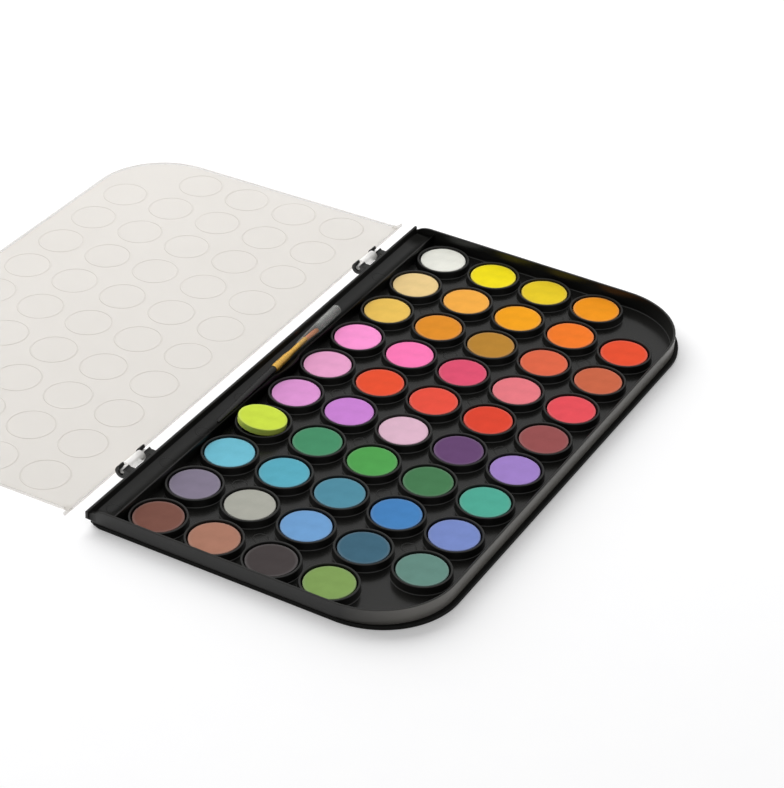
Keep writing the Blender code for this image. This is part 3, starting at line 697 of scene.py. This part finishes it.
def paint(slot, colour):
    """Dry pressed pigment: chalky colour with soft patches, fine grain and a dusty edge."""
    material, tree, shader = new_material(slot)
    patches = add_noise(tree, PAINT_PATCH_WAVES, detail=4.0)
    grain = add_noise(tree, PAINT_GRAIN_WAVES, roughness=0.7)
    patchy = add_range(tree, patches, *SHARP_CONTRAST, *FULL)
    grainy = add_range(tree, grain, *SHARP_CONTRAST, 0.0, PAINT_GRAIN_STRENGTH)
    base = add_mix(tree, patchy, *(shaded(colour, shade) for shade in PAINT_PATCH_SHADES))
    base = add_mix(tree, grainy, base, shaded(colour, PAINT_GRAIN_SHADE))
    place = add_node(tree, "ShaderNodeTexCoord")
    flat = add_node(tree, "ShaderNodeVectorMath", {1: (1.0, 1.0, 0.0)}, operation="MULTIPLY")
    tree.links.new(place.outputs["Object"], flat.inputs[0])
    radius = add_node(tree, "ShaderNodeVectorMath", operation="LENGTH")
    tree.links.new(flat.outputs["Vector"], radius.inputs[0])
    edge = add_range(tree, radius.outputs["Value"], *PAINT_EDGE_RADII, 0.0, PAINT_EDGE_STRENGTH)
    chalk = tuple(channel + (CHALK_LEVEL - channel) * CHALK_SHARE for channel in colour[:3])
    tree.links.new(add_mix(tree, edge, base, chalk), shader.inputs["Base Color"])
    shader.inputs["Roughness"].default_value = PAINT_ROUGHNESS
    shader.inputs["Specular IOR Level"].default_value = PAINT_SPECULAR
    shader.inputs["Sheen Weight"].default_value = PAINT_SHEEN
    height = add_bump(tree, patches, *PAINT_PATCH_BUMP)
    tree.links.new(add_bump(tree, grain, *PAINT_GRAIN_BUMP, height), shader.inputs["Normal"])
    return material


def black_lacquer():
    """Glossy lacquer over turned wood."""
    material, tree, shader = new_material("black_lacquer")
    waves = add_noise(tree, LACQUER_WAVES)
    tree.links.new(add_mix(tree, waves, LACQUER_DARK, LACQUER_PALE), shader.inputs["Base Color"])
    rough = add_range(tree, waves, *SOFT_CONTRAST, *LACQUER_ROUGHNESS)
    tree.links.new(rough, shader.inputs["Roughness"])
    tree.links.new(add_bump(tree, waves, *LACQUER_BUMP), shader.inputs["Normal"])
    return material


def gold_metal():
    """Thin gold-coloured metal with fine turning lines."""
    material, tree, shader = new_material("gold_metal")
    place = add_node(tree, "ShaderNodeTexCoord")
    stretch = add_node(tree, "ShaderNodeVectorMath", {1: GOLD_LINE_WAVES}, operation="MULTIPLY")
    tree.links.new(place.outputs["Object"], stretch.inputs[0])
    lines = add_node(tree, "ShaderNodeTexNoise", {"Scale": 1.0, "Detail": 2.0})
    tree.links.new(stretch.outputs["Vector"], lines.inputs["Vector"])
    tarnish = add_noise(tree, GOLD_WAVES)
    tree.links.new(add_mix(tree, tarnish, GOLD_DARK, GOLD_PALE), shader.inputs["Base Color"])
    rough = add_range(tree, lines.outputs["Fac"], *SOFT_CONTRAST, *GOLD_ROUGHNESS)
    tree.links.new(rough, shader.inputs["Roughness"])
    tree.links.new(add_bump(tree, lines.outputs["Fac"], *GOLD_BUMP), shader.inputs["Normal"])
    shader.inputs["Metallic"].default_value = GOLD_METALLIC
    return material


def hair():
    """Orange-brown synthetic hair in darker and paler streaks."""
    material, tree, shader = new_material("brush_hair")
    streaks = add_noise(tree, HAIR_WAVES, detail=2.0)
    strand = add_range(tree, streaks, *SHARP_CONTRAST, *FULL)
    tree.links.new(add_mix(tree, strand, HAIR_DARK, HAIR_PALE), shader.inputs["Base Color"])
    rough = add_range(tree, streaks, *SOFT_CONTRAST, *HAIR_ROUGHNESS)
    tree.links.new(rough, shader.inputs["Roughness"])
    return material


def clear_plastic():
    """Thin tube: clear round the hair, scuffed and hazy past it, and denser towards its outline."""
    material, tree, shader = new_material("clear_plastic")
    haze = add_noise(tree, CAP_WAVES)
    tree.links.new(add_mix(tree, haze, CAP_DARK, CAP_PALE), shader.inputs["Base Color"])
    rough = add_range(tree, haze, *SHARP_CONTRAST, *CAP_ROUGHNESS)
    tree.links.new(rough, shader.inputs["Roughness"])
    along = add_range(tree, add_place(tree)[1], CAP_CLEAR_LENGTH, CAP_HAZY_LENGTH, *FULL)
    scuffs = add_range(tree, haze, *SHARP_CONTRAST, *CAP_HAZY_ALPHA)
    alpha = add_blend(tree, along, CAP_CLEAR_ALPHA, scuffs)
    rim = add_node(tree, "ShaderNodeLayerWeight", {"Blend": 0.5})
    edge = add_range(tree, rim.outputs["Facing"], *CAP_EDGE_FACING, 0.0, CAP_EDGE_ALPHA)
    tree.links.new(add_math(tree, "MAXIMUM", alpha, edge), shader.inputs["Alpha"])
    tree.links.new(add_bump(tree, haze, *CAP_BUMP), shader.inputs["Normal"])
    return material


# Tray


def flange_loops():
    """Loops of the flange, from the underside over its outer edge and down inside the wall."""
    quarter = math.pi / 2
    r = EDGE_ROUND
    foot = arc((r - FLANGE_END_REACH, r), r, -quarter, -2 * quarter, ROUND_STEPS)
    ledge = arc((r - FLANGE_END_REACH, FLANGE_THICKNESS - r), r, 2 * quarter, quarter, ROUND_STEPS)
    loops = [(tray_outline(inset, HINGE_FOOT_RADIUS, FLANGE_LIP), z) for inset, z in foot]
    loops += [(tray_outline(inset, HINGE_ANKLE_RADIUS, FLANGE_LIP), z) for inset, z in ledge]
    loops.append((tray_outline(SUNK, HINGE_ANKLE_RADIUS), FLANGE_THICKNESS))
    inside = tray_outline(WALL_THICKNESS / 2, HINGE_ANKLE_RADIUS)
    return loops + [(inside, FLANGE_THICKNESS - SUNK), (inside, FLANGE_CAP_HEIGHT)]


def wall_loops():
    """Loops of the tray's wall, from under the floor over the rim to the floor."""
    quarter = math.pi / 2
    r = EDGE_ROUND
    rim = arc((r, TRAY_HEIGHT - r), r, 2 * quarter, quarter, ROUND_STEPS)
    rim += arc((WALL_THICKNESS - r, TRAY_HEIGHT - r), r, quarter, 0, ROUND_STEPS)
    rim += arc((WALL_THICKNESS + FLOOR_FILLET, FLOOR_THICKNESS + FLOOR_FILLET), FLOOR_FILLET,
               2 * quarter, 3 * quarter, ROUND_STEPS)
    loops = [(tray_outline(WALL_THICKNESS / 2, HINGE_ANKLE_RADIUS), WALL_CAP_HEIGHT)]
    loops.append((tray_outline(0.0, HINGE_ANKLE_RADIUS), FLANGE_THICKNESS - SUNK))
    return loops + [(tray_outline(inset), z) for inset, z in rim]


def dropped(x, z):
    """Height of a point of the wall, lower where the end walls curve down to the hinge wall."""
    past = min(max(DROP_X - x, 0.0), END_WALL_DROP_LENGTH)
    drop = DROP_RADIUS - math.sqrt(DROP_RADIUS**2 - past**2)
    share = max(0.0, (z - DROP_BASE) / (TRAY_HEIGHT - DROP_BASE))
    return z - drop * share


def build_walls(material):
    bm = bmesh.new()
    capped(bm, [[(x, y, dropped(x, z)) for x, y in outline] for outline, z in wall_loops()])
    walls = finish_mesh(bm, "tray_walls", material, "tray")
    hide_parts("tray")


def build_flange(material):
    bm = bmesh.new()
    capped(bm, [[(x, y, z) for x, y in outline] for outline, z in flange_loops()])
    finish_mesh(bm, "tray_flange", material, "tray")


def cup_section():
    """Closed section of a cup ring, (radius, height)."""
    outer = CUP_INNER_RADIUS + CUP_WALL
    quarter = math.pi / 2
    lip = CUP_LIP_ROUND
    fillet_centre = (outer + CUP_FILLET, FLOOR_THICKNESS + CUP_FILLET)
    section = arc(fillet_centre, CUP_FILLET, -quarter, -2 * quarter, ROUND_STEPS)
    section += arc((outer - lip, CUP_TOP - lip), lip, 0, quarter, ROUND_STEPS)
    section += arc((CUP_INNER_RADIUS + lip, CUP_TOP - lip), lip, quarter, 2 * quarter, ROUND_STEPS)
    section += [(CUP_INNER_RADIUS, CUP_BASE), (outer + CUP_FILLET, CUP_BASE)]
    return section


def cup_centre(node):
    """Centre of the cup that holds a cake; a loose cake's cup is on its column and row."""
    place = middle(node)
    row = round((place.y + PITCH / 2) / PITCH) * PITCH - PITCH / 2
    column = FIRST_COLUMN_X + round((place.x - FIRST_COLUMN_X) / PITCH) * PITCH
    return column, row


def build_cups(material):
    for node in CAKE_NODES:
        centre = cup_centre(node)
        bm = bmesh.new()
        skin(bm, rings(centre, cup_section()), closed=True)
        finish_mesh(bm, node.replace("cake_", "cup_"), material, "tray")


def channel_share(y):
    """How deep the trough is at y, from 0 at its ends to 1 in its straight part."""
    straight = CHANNEL_END_Y - TROUGH_END_SETBACK - TROUGH_RADIUS
    past = min(1.0, max(0.0, abs(y) - straight) / TROUGH_RADIUS)
    return math.sqrt(1 - past * past)


def channel_height(x, y):
    """Height of the brush channel's floor."""
    across = min(abs(x - TROUGH_X), CHANNEL_HALF_WIDTH)
    depth = TROUGH_EDGE_Z - TROUGH_AXIS_Z + math.sqrt(TROUGH_RADIUS**2 - across**2)
    height = TROUGH_EDGE_Z - depth * channel_share(y)
    if abs(y) < RECESS_HALF_CHORD and x > TROUGH_X:
        return min(height, RECESS_FLOOR)
    return height


def channel_limits(y):
    """Lowest and highest x of the channel's floor at y, a little inside the wall and the rib."""
    inner = HINGE_CORNER_RADIUS - WALL_THICKNESS
    past = abs(y) - (HALF_LENGTH - HINGE_CORNER_RADIUS)
    near = CHANNEL_NEAR_X
    if past > 0:
        near += inner - math.sqrt(max(0.0, inner**2 - past**2))
    far = RIB_X
    if abs(y) < RECESS_HALF_CHORD:
        far = RECESS_CENTRE_X + math.sqrt(RIB_CURVE_RADIUS**2 - y**2)
    return near - SUNK, far


def build_channel(material):
    bm = bmesh.new()
    rows = []
    for step in range(CHANNEL_ROWS + 1):
        y = CHANNEL_END_Y * (2 * step / CHANNEL_ROWS - 1)
        near, far = channel_limits(y)
        row = []
        for column in range(CHANNEL_COLUMNS + 1):
            x = near + (far - near) * column / CHANNEL_COLUMNS
            row.append(bm.verts.new((x, y, channel_height(x, y))))
        rows.append(row)
    for lower, upper in zip(rows, rows[1:]):
        for i in range(CHANNEL_COLUMNS):
            bm.faces.new((lower[i], lower[i + 1], upper[i + 1], upper[i]))
    finish_mesh(bm, "channel_floor", material, "tray")


def rib_path():
    """Middle line of the rib, from the near end wall round the finger recess to the far one."""
    turn = math.asin(RECESS_HALF_CHORD / RIB_CURVE_RADIUS)
    bulge = arc((RECESS_CENTRE_X, 0), RIB_CURVE_RADIUS, -turn, turn, ROUND_CORNER_STEPS)
    return [(RIB_X, -CHANNEL_END_Y - SUNK), *bulge, (RIB_X, CHANNEL_END_Y + SUNK)]


def build_rib(material):
    half = RIB_THICKNESS / 2
    crest = arc((0, RIB_TOP - half), half, math.pi, 0, 2 * ROUND_STEPS)
    section = [(-half, CUP_BASE)] + crest + [(half, CUP_BASE)]
    path = [Vector(point) for point in rib_path()]
    loops = []
    for i, point in enumerate(path):
        along = (path[min(i + 1, len(path) - 1)] - path[max(i - 1, 0)]).normalized()
        aside = Vector((along.y, -along.x))
        loops.append([(*(point + aside * offset), z) for offset, z in section])
    bm = bmesh.new()
    capped(bm, loops)
    finish_mesh(bm, "channel_rib", material, "tray")


def ring_mark(bm, centre, height_at):
    """Low ring that lies on a surface."""
    loops = []
    for across, rise in MARK_SECTION:
        points = circle(centre, MARK_RADIUS + across * MARK_WIDTH, PIN_SIDES)
        loops.append([(x, y, height_at(x, y) + rise * MARK_HEIGHT) for x, y in points])
    skin(bm, loops)


def floor_mark_places():
    """Middle of every third gap between four cups, one gap further on in each column."""
    rows = sorted({round(cup_centre(node)[1], 4) for node in CAKE_NODES})
    for column in range(FLOOR_MARK_COLUMNS):
        for index, (low, high) in enumerate(zip(rows, rows[1:])):
            if (index + column) % FLOOR_MARK_EVERY == 1:
                yield FIRST_COLUMN_X + (column + 0.5) * PITCH, (low + high) / 2


def build_marks(material):
    bm = bmesh.new()
    for y in CHANNEL_MARKS_Y:
        ring_mark(bm, (TROUGH_X, y), channel_height)
    for place in floor_mark_places():
        ring_mark(bm, place, lambda x, y: FLOOR_THICKNESS)
    finish_mesh(bm, "ejector_marks", material, "tray")


def web_outline():
    """Fillet in plan between the strip's near tip and the end wall."""
    r = HINGE_WEB_FILLET
    left, wall = CHANNEL_NEAR_X - SUNK, WALL_THICKNESS / 2 - HALF_LENGTH
    fillet = arc((CHANNEL_NEAR_X + r, -HALF_LENGTH - r), r, math.pi, math.pi / 2, CORNER_STEPS)
    return [(left, fillet[0][1]), *fillet, (fillet[-1][0], wall), (left, wall)]


def web_bottom(y):
    """Height of the web's underside, which slopes up from the end wall to the strip's tip."""
    share = min(1.0, max(0.0, (-HALF_LENGTH - y) / HINGE_WEB_FILLET))
    height = HINGE_WEB_ROOT_HEIGHT + (HINGE_WEB_TIP_HEIGHT - HINGE_WEB_ROOT_HEIGHT) * share
    return TRAY_HEIGHT - HINGE_WEB_TOP_DROP - height


def build_strip(material):
    """Straight top of the hinge wall, which sticks out past the near end wall."""
    r = EDGE_ROUND
    left, right = HINGE_WALL_X - PROUD, CHANNEL_NEAR_X + PROUD
    bottom = TRAY_HEIGHT - HINGE_STRIP_HEIGHT
    points = [(left, bottom), (right, bottom)]
    points += arc((right - r, TRAY_HEIGHT - r), r, 0, math.pi / 2, ROUND_STEPS)
    points += arc((left + r, TRAY_HEIGHT - r), r, math.pi / 2, math.pi, ROUND_STEPS)
    bm = bmesh.new()
    near, far = -HALF_LENGTH - HINGE_STRIP_NEAR_REACH, HALF_LENGTH - HINGE_STRIP_FAR_SETBACK
    side_prism(bm, points, near, far)
    web = web_outline()
    top = TRAY_HEIGHT - HINGE_WEB_TOP_DROP
    capped(bm, [[(x, y, web_bottom(y)) for x, y in web], [(x, y, top) for x, y in web]])
    finish_mesh(bm, "hinge_strip", material, "tray", bevel=SMALL_BEVEL)


def clip_outline():
    """Hook round the hinge pin with its mouth upwards and a neck to the hinge wall."""
    mouth_start, mouth_end = (math.radians(angle) for angle in CLIP_MOUTH_DEGREES)
    axis = (HINGE_X, HINGE_Z)
    neck = math.asin(CLIP_NECK_HALF_HEIGHT / CLIP_OUTER_RADIUS)
    root_x = HINGE_WALL_X + WALL_THICKNESS / 2
    full = 2 * math.pi
    points = arc(axis, CLIP_OUTER_RADIUS, mouth_end, full - neck, PIN_SIDES)
    points.append((root_x, HINGE_Z - CLIP_NECK_HALF_HEIGHT))
    points.append((root_x, HINGE_Z + CLIP_NECK_HALF_HEIGHT))
    points += arc(axis, CLIP_OUTER_RADIUS, neck, mouth_start, ROUND_STEPS)
    points += arc(axis, CLIP_INNER_RADIUS, full + mouth_start, mouth_end, PIN_SIDES)
    return points


def hinge_places():
    """Middle of each hinge along Y."""
    return [side * HINGE_FROM_MIDDLE for side in SIDES]


def build_clips(material):
    bm = bmesh.new()
    for place in hinge_places():
        for side in SIDES:
            y = place + side * CLIP_SPACING / 2
            side_prism(bm, clip_outline(), y - CLIP_WIDTH / 2, y + CLIP_WIDTH / 2)
    finish_mesh(bm, "hinge_clips", material, "tray", bevel=SMALL_BEVEL)


def build_tray():
    material = black_plastic()
    for build in (build_cups, build_marks, build_strip, build_clips):
        build(material)
    build_walls(wall_plastic())
    material = channel_plastic()
    for build in (build_channel, build_rib):
        build(material)
    build_flange(flange_painted_shade_plastic())


# Lid


def open_lid_transform():
    """From the lid as drawn closed to the lid as it lies open."""
    axis = Vector((HINGE_X, 0, HINGE_Z))
    turn = Matrix.Rotation(LID_OPEN_TURN, 4, "Y")
    return Matrix.Translation(axis) @ turn @ Matrix.Translation(-axis)


def lid_mesh(bm, name, material, bevel=None):
    """Translucent piece of the lid: drawn closed, turned open, and too clear to cast a shadow."""
    bm.transform(open_lid_transform())
    piece = finish_mesh(bm, name, material, "lid", bevel)
    piece.visible_shadow = False
    return piece


def lid_section():
    """Section of the lid, (inset, height), from its outer face round its edge to its inner face."""
    quarter = math.pi / 2
    r = LID_ROUND
    section = arc((r, LID_TOP_Z - r), r, quarter, 2 * quarter, ROUND_STEPS)
    section += arc((r, LID_RIM_Z + r), r, 2 * quarter, 3 * quarter, ROUND_STEPS)
    section += arc((LID_RIM_WIDTH - r, LID_RIM_Z + r), r, -quarter, 0, ROUND_STEPS)
    section += [(LID_RIM_WIDTH, LID_FACE_Z)]
    return section


def horn_outline(side):
    """Pointed end of the lid's hinge edge in plan, filleted into the lid's end edge."""
    left, right = HINGE_WALL_X, HINGE_WALL_X + LID_HORN_WIDTH
    tip = HALF_LENGTH + LID_HORN_REACH
    fillet = arc((right + LID_HORN_FILLET, HALF_LENGTH + LID_HORN_FILLET), LID_HORN_FILLET,
                 math.pi, math.pi * 1.5, CORNER_STEPS)
    root = HALF_LENGTH - HINGE_CORNER_RADIUS
    points = [(left, root), (left, tip), (right, tip), *fillet, (fillet[-1][0], root)]
    return [(x, side * y) for x, y in points]


def build_lid_plate(material):
    bm = bmesh.new()
    outline_solid(bm, lid_section())
    for side in SIDES:
        outline = horn_outline(side)
        capped(bm, [[(x, y, z) for x, y in outline] for z in (LID_RIM_Z, LID_TOP_Z - LID_ROUND)])
    plate = lid_mesh(bm, "lid_plate", material)
    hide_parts("lid")


def build_lid_rings(material):
    """Low moulded rings on the lid's inner face, one over each cup."""
    bm = bmesh.new()
    root, top = LID_FACE_Z + LID_RING_HEIGHT / 2, LID_FACE_Z - LID_RING_HEIGHT
    half = LID_RING_HALF_WIDTH
    section = (
        (LID_RING_RADIUS + half, root),
        (LID_RING_RADIUS + half / 2, top),
        (LID_RING_RADIUS - half / 2, top),
        (LID_RING_RADIUS - half, root),
    )
    for node in CAKE_NODES:
        skin(bm, rings(cup_centre(node), section))
    lid_mesh(bm, "lid_rings", material)


def lug_outline():
    """Tongue from the lid's edge, rounded about the hinge axis."""
    start, end = (math.radians(angle) for angle in LUG_BARREL_DEGREES)
    root_x = HINGE_WALL_X + LID_RIM_WIDTH / 2
    points = [(root_x, LID_TOP_Z), (HINGE_X, LID_TOP_Z)]
    points += arc((HINGE_X, HINGE_Z), LUG_BARREL_RADIUS, start, end, PIN_SIDES)
    points += [(HINGE_X + LUG_BARREL_RADIUS, LID_RIM_Z), (root_x, LID_RIM_Z)]
    return points


def build_lugs(material):
    bm = bmesh.new()
    for place in hinge_places():
        side_prism(bm, lug_outline(), place - LUG_HALF_WIDTH, place + LUG_HALF_WIDTH)
    lid_mesh(bm, "lid_lugs", material, bevel=SMALL_BEVEL)


def build_pins(material):
    bm = bmesh.new()
    for place in hinge_places():
        points = circle((HINGE_X, HINGE_Z), PIN_RADIUS, PIN_SIDES)
        side_prism(bm, points, place - PIN_HALF_LENGTH, place + PIN_HALF_LENGTH)
    lid_mesh(bm, "lid_pins", material, bevel=SMALL_BEVEL)


def build_lid():
    plastic = frosted_plastic("frosted_plastic", LID_DARK, LID_PALE, LID_DENSITY)
    for build in (build_lid_plate, build_lid_rings):
        build(plastic)
    # The lugs' paler colour is painted light on their shaded barrels
    lug_plastic_painted_light = frosted_plastic("frosted_dense_painted_light", LUG_DARK, LUG_PALE, LUG_DENSITY)
    for build in (build_lugs, build_pins):
        build(lug_plastic_painted_light)


# Cakes


def cake_section(radius, half):
    """Section of a cake, (radius, height), from the edge of its underside to near its middle."""
    inner = radius - CAKE_EDGE_ROUND
    section = [(inner, -half), (radius, CAKE_EDGE_ROUND - half)]
    section += arc((inner, half - CAKE_EDGE_ROUND), CAKE_EDGE_ROUND, 0, math.pi / 2, ROUND_STEPS)
    section += [(inner * ring / CAKE_RINGS, half) for ring in range(CAKE_RINGS - 1, 0, -1)]
    return section


def cake_turn(node):
    """Rotation of a cake: flat in its cup, or tilted if it is the loose one."""
    if node != LOOSE_CAKE:
        return Matrix.Identity(4)
    heading = math.radians(LOOSE_CAKE_HEADING_DEGREES)
    hinge_line = Vector((math.sin(heading), -math.cos(heading), 0))
    return Matrix.Rotation(math.radians(LOOSE_CAKE_TILT_DEGREES), 4, hinge_line)


def build_cake(node, index):
    flat_low, flat_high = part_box("cake_white")
    radius = (flat_high.x - flat_low.x) / 2
    half = (flat_high.z - flat_low.z) / 2
    bm = bmesh.new()
    capped(bm, rings((0, 0), cake_section(radius, half)))
    offset = Vector((index, 0, 0))
    for vert in bm.verts:
        wave = noise.noise(vert.co * CAKE_NOISE_SCALE + offset)
        vert.co.z += (wave - 1) * CAKE_UNEVENNESS
    slot = node.replace("cake_", "paint_")
    place = Matrix.Translation(middle(node)) @ cake_turn(node)
    body = frame["nodes"][node]["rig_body"]
    cake = finish_mesh(bm, slot, paint(slot, slot_colours[slot]), body)
    cake.matrix_world = place
    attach(cake, body)
    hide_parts(node)


def build_cakes():
    for index, node in enumerate(CAKE_NODES):
        build_cake(node, index)


# Brush


def brush_transform():
    x = FIRST_COLUMN_X - FERRULE_BASE_TO_FIRST_COLUMN
    base = Vector((x, -FERRULE_BASE_FROM_MIDDLE, BRUSH_AXIS_HEIGHT))
    return Matrix.Translation(base) @ Matrix.Rotation(math.radians(BRUSH_TURN_DEGREES), 4, "Z")


def turned(bm, profile):
    """Turned solid about the Y axis from (distance, radius) pairs."""
    loops = []
    for distance, radius in profile:
        loops.append([(x, distance, z) for x, z in circle((0, 0), radius, BRUSH_SIDES)])
    capped(bm, loops)


def brush_piece(bm, name, material, body, node, forward=0.0):
    piece = finish_mesh(bm, name, material, body)
    piece.matrix_world = brush_transform() @ Matrix.Translation((0, forward, 0))
    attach(piece, body)
    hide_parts(node)


def build_handle():
    bm = bmesh.new()
    tip = HANDLE_TIP_RADIUS
    start = math.pi * HANDLE_TIP_START_SHARE
    profile = arc((tip - HANDLE_LENGTH, 0), tip, start, math.pi / 2, HANDLE_TIP_STEPS)
    for step in range(1, HANDLE_STEPS):
        share = step / HANDLE_STEPS
        swell = math.sin(share * math.pi / 2) ** HANDLE_SWELL_POWER
        along = tip - HANDLE_LENGTH + share * (HANDLE_LENGTH - tip)
        profile.append((along, tip + (HANDLE_SHOULDER_RADIUS - tip) * swell))
    profile.append((0, HANDLE_SHOULDER_RADIUS))
    turned(bm, profile)
    brush_piece(bm, "handle_lacquered", black_lacquer(), "brush", "brush_handle")


def ferrule_profile():
    """Profile of the ferrule, (distance, radius): two crimps and an eased taper to its neck."""
    base, neck = FERRULE_BASE_RADIUS, FERRULE_NECK_RADIUS
    profile = [(0, base - FERRULE_WALL), (0, base)]
    for place in CRIMP_PLACES:
        for step in range(CRIMP_STEPS + 1):
            share = step / CRIMP_STEPS
            swell = math.sin(share * math.pi) * CRIMP_HEIGHT
            profile.append((place + (2 * share - 1) * CRIMP_HALF_WIDTH, base + swell))
    for step in range(TAPER_STEPS + 1):
        share = step / TAPER_STEPS
        ease = share * share * (3 - 2 * share)
        distance = FERRULE_STRAIGHT_LENGTH + share * (FERRULE_TAPER_END - FERRULE_STRAIGHT_LENGTH)
        profile.append((distance, base + (neck - base) * ease))
    return profile + [(FERRULE_LENGTH, neck), (FERRULE_LENGTH, neck - FERRULE_WALL)]


def build_ferrule():
    bm = bmesh.new()
    turned(bm, ferrule_profile())
    brush_piece(bm, "ferrule_crimped", gold_metal(), "brush", "brush_ferrule")


def add_hair(bm, rng):
    """One thin hair from inside the ferrule to the tuft's tip, with a slight bend."""
    turn = rng.uniform(0, 2 * math.pi)
    out = math.sqrt(rng.random())
    across, up = out * math.cos(turn), out * math.sin(turn)
    length = BRISTLE_LENGTH * (1 - HAIR_RANDOM_SHARE * rng.random() - HAIR_OUTER_SHARE * out * out)
    loops = []
    for step in range(HAIR_STEPS + 1):
        share = step / HAIR_STEPS
        spread = share + math.sin(share * math.pi) * HAIR_BELLY_SHARE
        x = across * (BRISTLE_HALF_WIDTH + (BRISTLE_TIP_HALF_WIDTH - BRISTLE_HALF_WIDTH) * spread)
        z = up * BRISTLE_HALF_THICKNESS
        x += BRISTLE_TIP_ASIDE * share
        z -= BRISTLE_TIP_SAG * share
        y = share * (length + BRISTLE_ROOT_SINK) - BRISTLE_ROOT_SINK
        radius = HAIR_RADIUS * (1 - HAIR_TAPER_SHARE * share)
        loops.append([(x + a, y, z + b) for a, b in circle((0, 0), radius, HAIR_SIDES)])
    capped(bm, loops)


def build_hair():
    rng = random.Random(HAIR_SEED)
    bm = bmesh.new()
    for _ in range(HAIR_COUNT):
        add_hair(bm, rng)
    brush_piece(bm, "hair_tuft", hair(), "brush", "brush_bristles", FERRULE_LENGTH)


def cap_radius(share):
    """Outer radius of the cap, which widens evenly from its mouth and then runs straight."""
    ease = min(1.0, share * CAP_LENGTH / CAP_FLARE_LENGTH)
    return CAP_MOUTH_RADIUS + (CAP_RADIUS - CAP_MOUTH_RADIUS) * ease


def build_cap():
    shares = [step / CAP_STEPS for step in range(CAP_STEPS)]
    outer = [(CAP_LENGTH * share, cap_radius(share)) for share in shares]
    end = (CAP_LENGTH - CAP_END_ROUND, CAP_RADIUS - CAP_END_ROUND)
    outer += arc(end, CAP_END_ROUND, math.pi / 2, 0, CAP_END_STEPS)
    inner = [(min(d, CAP_LENGTH - CAP_WALL), max(CAP_LEAST_BORE, r - CAP_WALL)) for d, r in outer]
    bm = bmesh.new()
    turned(bm, inner[::-1] + outer)
    brush_piece(bm, "cap_sleeve", clear_plastic(), "brush_cap", "brush_cap",
                FERRULE_LENGTH - CAP_OVERLAP)


def build_brush():
    for build in (build_handle, build_ferrule, build_hair, build_cap):
        build()


# Stage


def floor_material():
    """White table: plain diffuse, lifted to white where the camera or a reflection looks at it."""
    material, tree, shader = new_material("white_table")
    grain = add_noise(tree, TABLE_WAVES)
    tree.links.new(add_mix(tree, grain, TABLE_DARK, TABLE_PALE), shader.inputs["Base Color"])
    shader.inputs["Roughness"].default_value = TABLE_ROUGHNESS
    shader.inputs["Specular IOR Level"].default_value = 0.0
    path = add_node(tree, "ShaderNodeLightPath")
    seen = add_math(tree, "MAXIMUM", path.outputs["Is Camera Ray"], path.outputs["Is Glossy Ray"])
    tree.links.new(add_range(tree, seen, *FULL, 0.0, TABLE_LIFT), shader.inputs["Emission Strength"])
    shader.inputs["Emission Color"].default_value = WHITE
    return material


def build_stage():
    mesh = bpy.data.meshes.new("table")
    reach = FLOOR_HALF_SIZE
    corners = [(-reach, -reach), (reach, -reach), (reach, reach), (-reach, reach)]
    mesh.from_pydata([(x, y, -FLOOR_DROP) for x, y in corners], [], [(0, 1, 2, 3)])
    table = bpy.data.objects.new("table", mesh)
    bpy.context.scene.collection.objects.link(table)
    mesh.materials.append(floor_material())


def build_world():
    """Soft grey surroundings: brighter overhead and in reflections, and white to the camera."""
    world = bpy.data.worlds.new("studio")
    bpy.context.scene.world = world
    world.use_nodes = True
    tree = world.node_tree
    background = tree.nodes["Background"]
    up = add_place(tree, "Generated")[2]
    light = add_range(tree, up, *SKY_HEIGHTS, *SKY_LEVELS)
    mirrored = add_range(tree, up, *SKY_HEIGHTS, *MIRRORED_SKY_LEVELS)
    path = add_node(tree, "ShaderNodeLightPath")
    level = add_blend(tree, path.outputs["Is Glossy Ray"], light, mirrored)
    level = add_blend(tree, path.outputs["Is Camera Ray"], level, 1.0)
    tree.links.new(level, background.inputs["Strength"])
    background.inputs["Color"].default_value = WHITE


def build_window():
    """Large soft panel that stands behind the box to the left, and keeps out of reflections."""
    data = bpy.data.lights.new("window", "AREA")
    data.shape = "RECTANGLE"
    data.size, data.size_y = WINDOW_WIDTH, WINDOW_HEIGHT
    data.energy = WINDOW_POWER
    window = bpy.data.objects.new("window", data)
    bpy.context.scene.collection.objects.link(window)
    heading = math.radians(WINDOW_HEADING_DEGREES)
    toward = Vector((math.cos(heading), math.sin(heading), 0))
    window.location = toward * WINDOW_DISTANCE
    window.location.z = WINDOW_BOTTOM + WINDOW_HEIGHT / 2
    window.rotation_mode = "QUATERNION"
    window.rotation_quaternion = (-toward).to_track_quat("-Z", "Y")
    window.visible_glossy = False


def build_camera():
    data = bpy.data.cameras.new("camera")
    data.sensor_fit = "HORIZONTAL"
    data.sensor_width = CAMERA_SENSOR
    data.lens = CAMERA_LENS
    data.clip_start = CAMERA_NEAREST
    data.clip_end = CAMERA_FARTHEST
    camera = bpy.data.objects.new("camera", data)
    bpy.context.scene.collection.objects.link(camera)
    place = Vector((FIRST_COLUMN_X + CAMERA_FROM_COLUMN, CAMERA_Y, CAMERA_Z))
    target = Vector((FIRST_COLUMN_X + TARGET_FROM_COLUMN, TARGET_Y, 0))
    camera.location = place
    camera.rotation_mode = "QUATERNION"
    aim = (target - place).to_track_quat("-Z", "Y")
    roll = Matrix.Rotation(math.radians(CAMERA_ROLL_DEGREES), 3, "Z").to_quaternion()
    camera.rotation_quaternion = aim @ roll
    bpy.context.scene.camera = camera


build_camera()
build_stage()
build_world()
build_window()
build_tray()
build_lid()
build_cakes()
build_brush()
bpy.context.scene.view_settings.view_transform = "Standard"
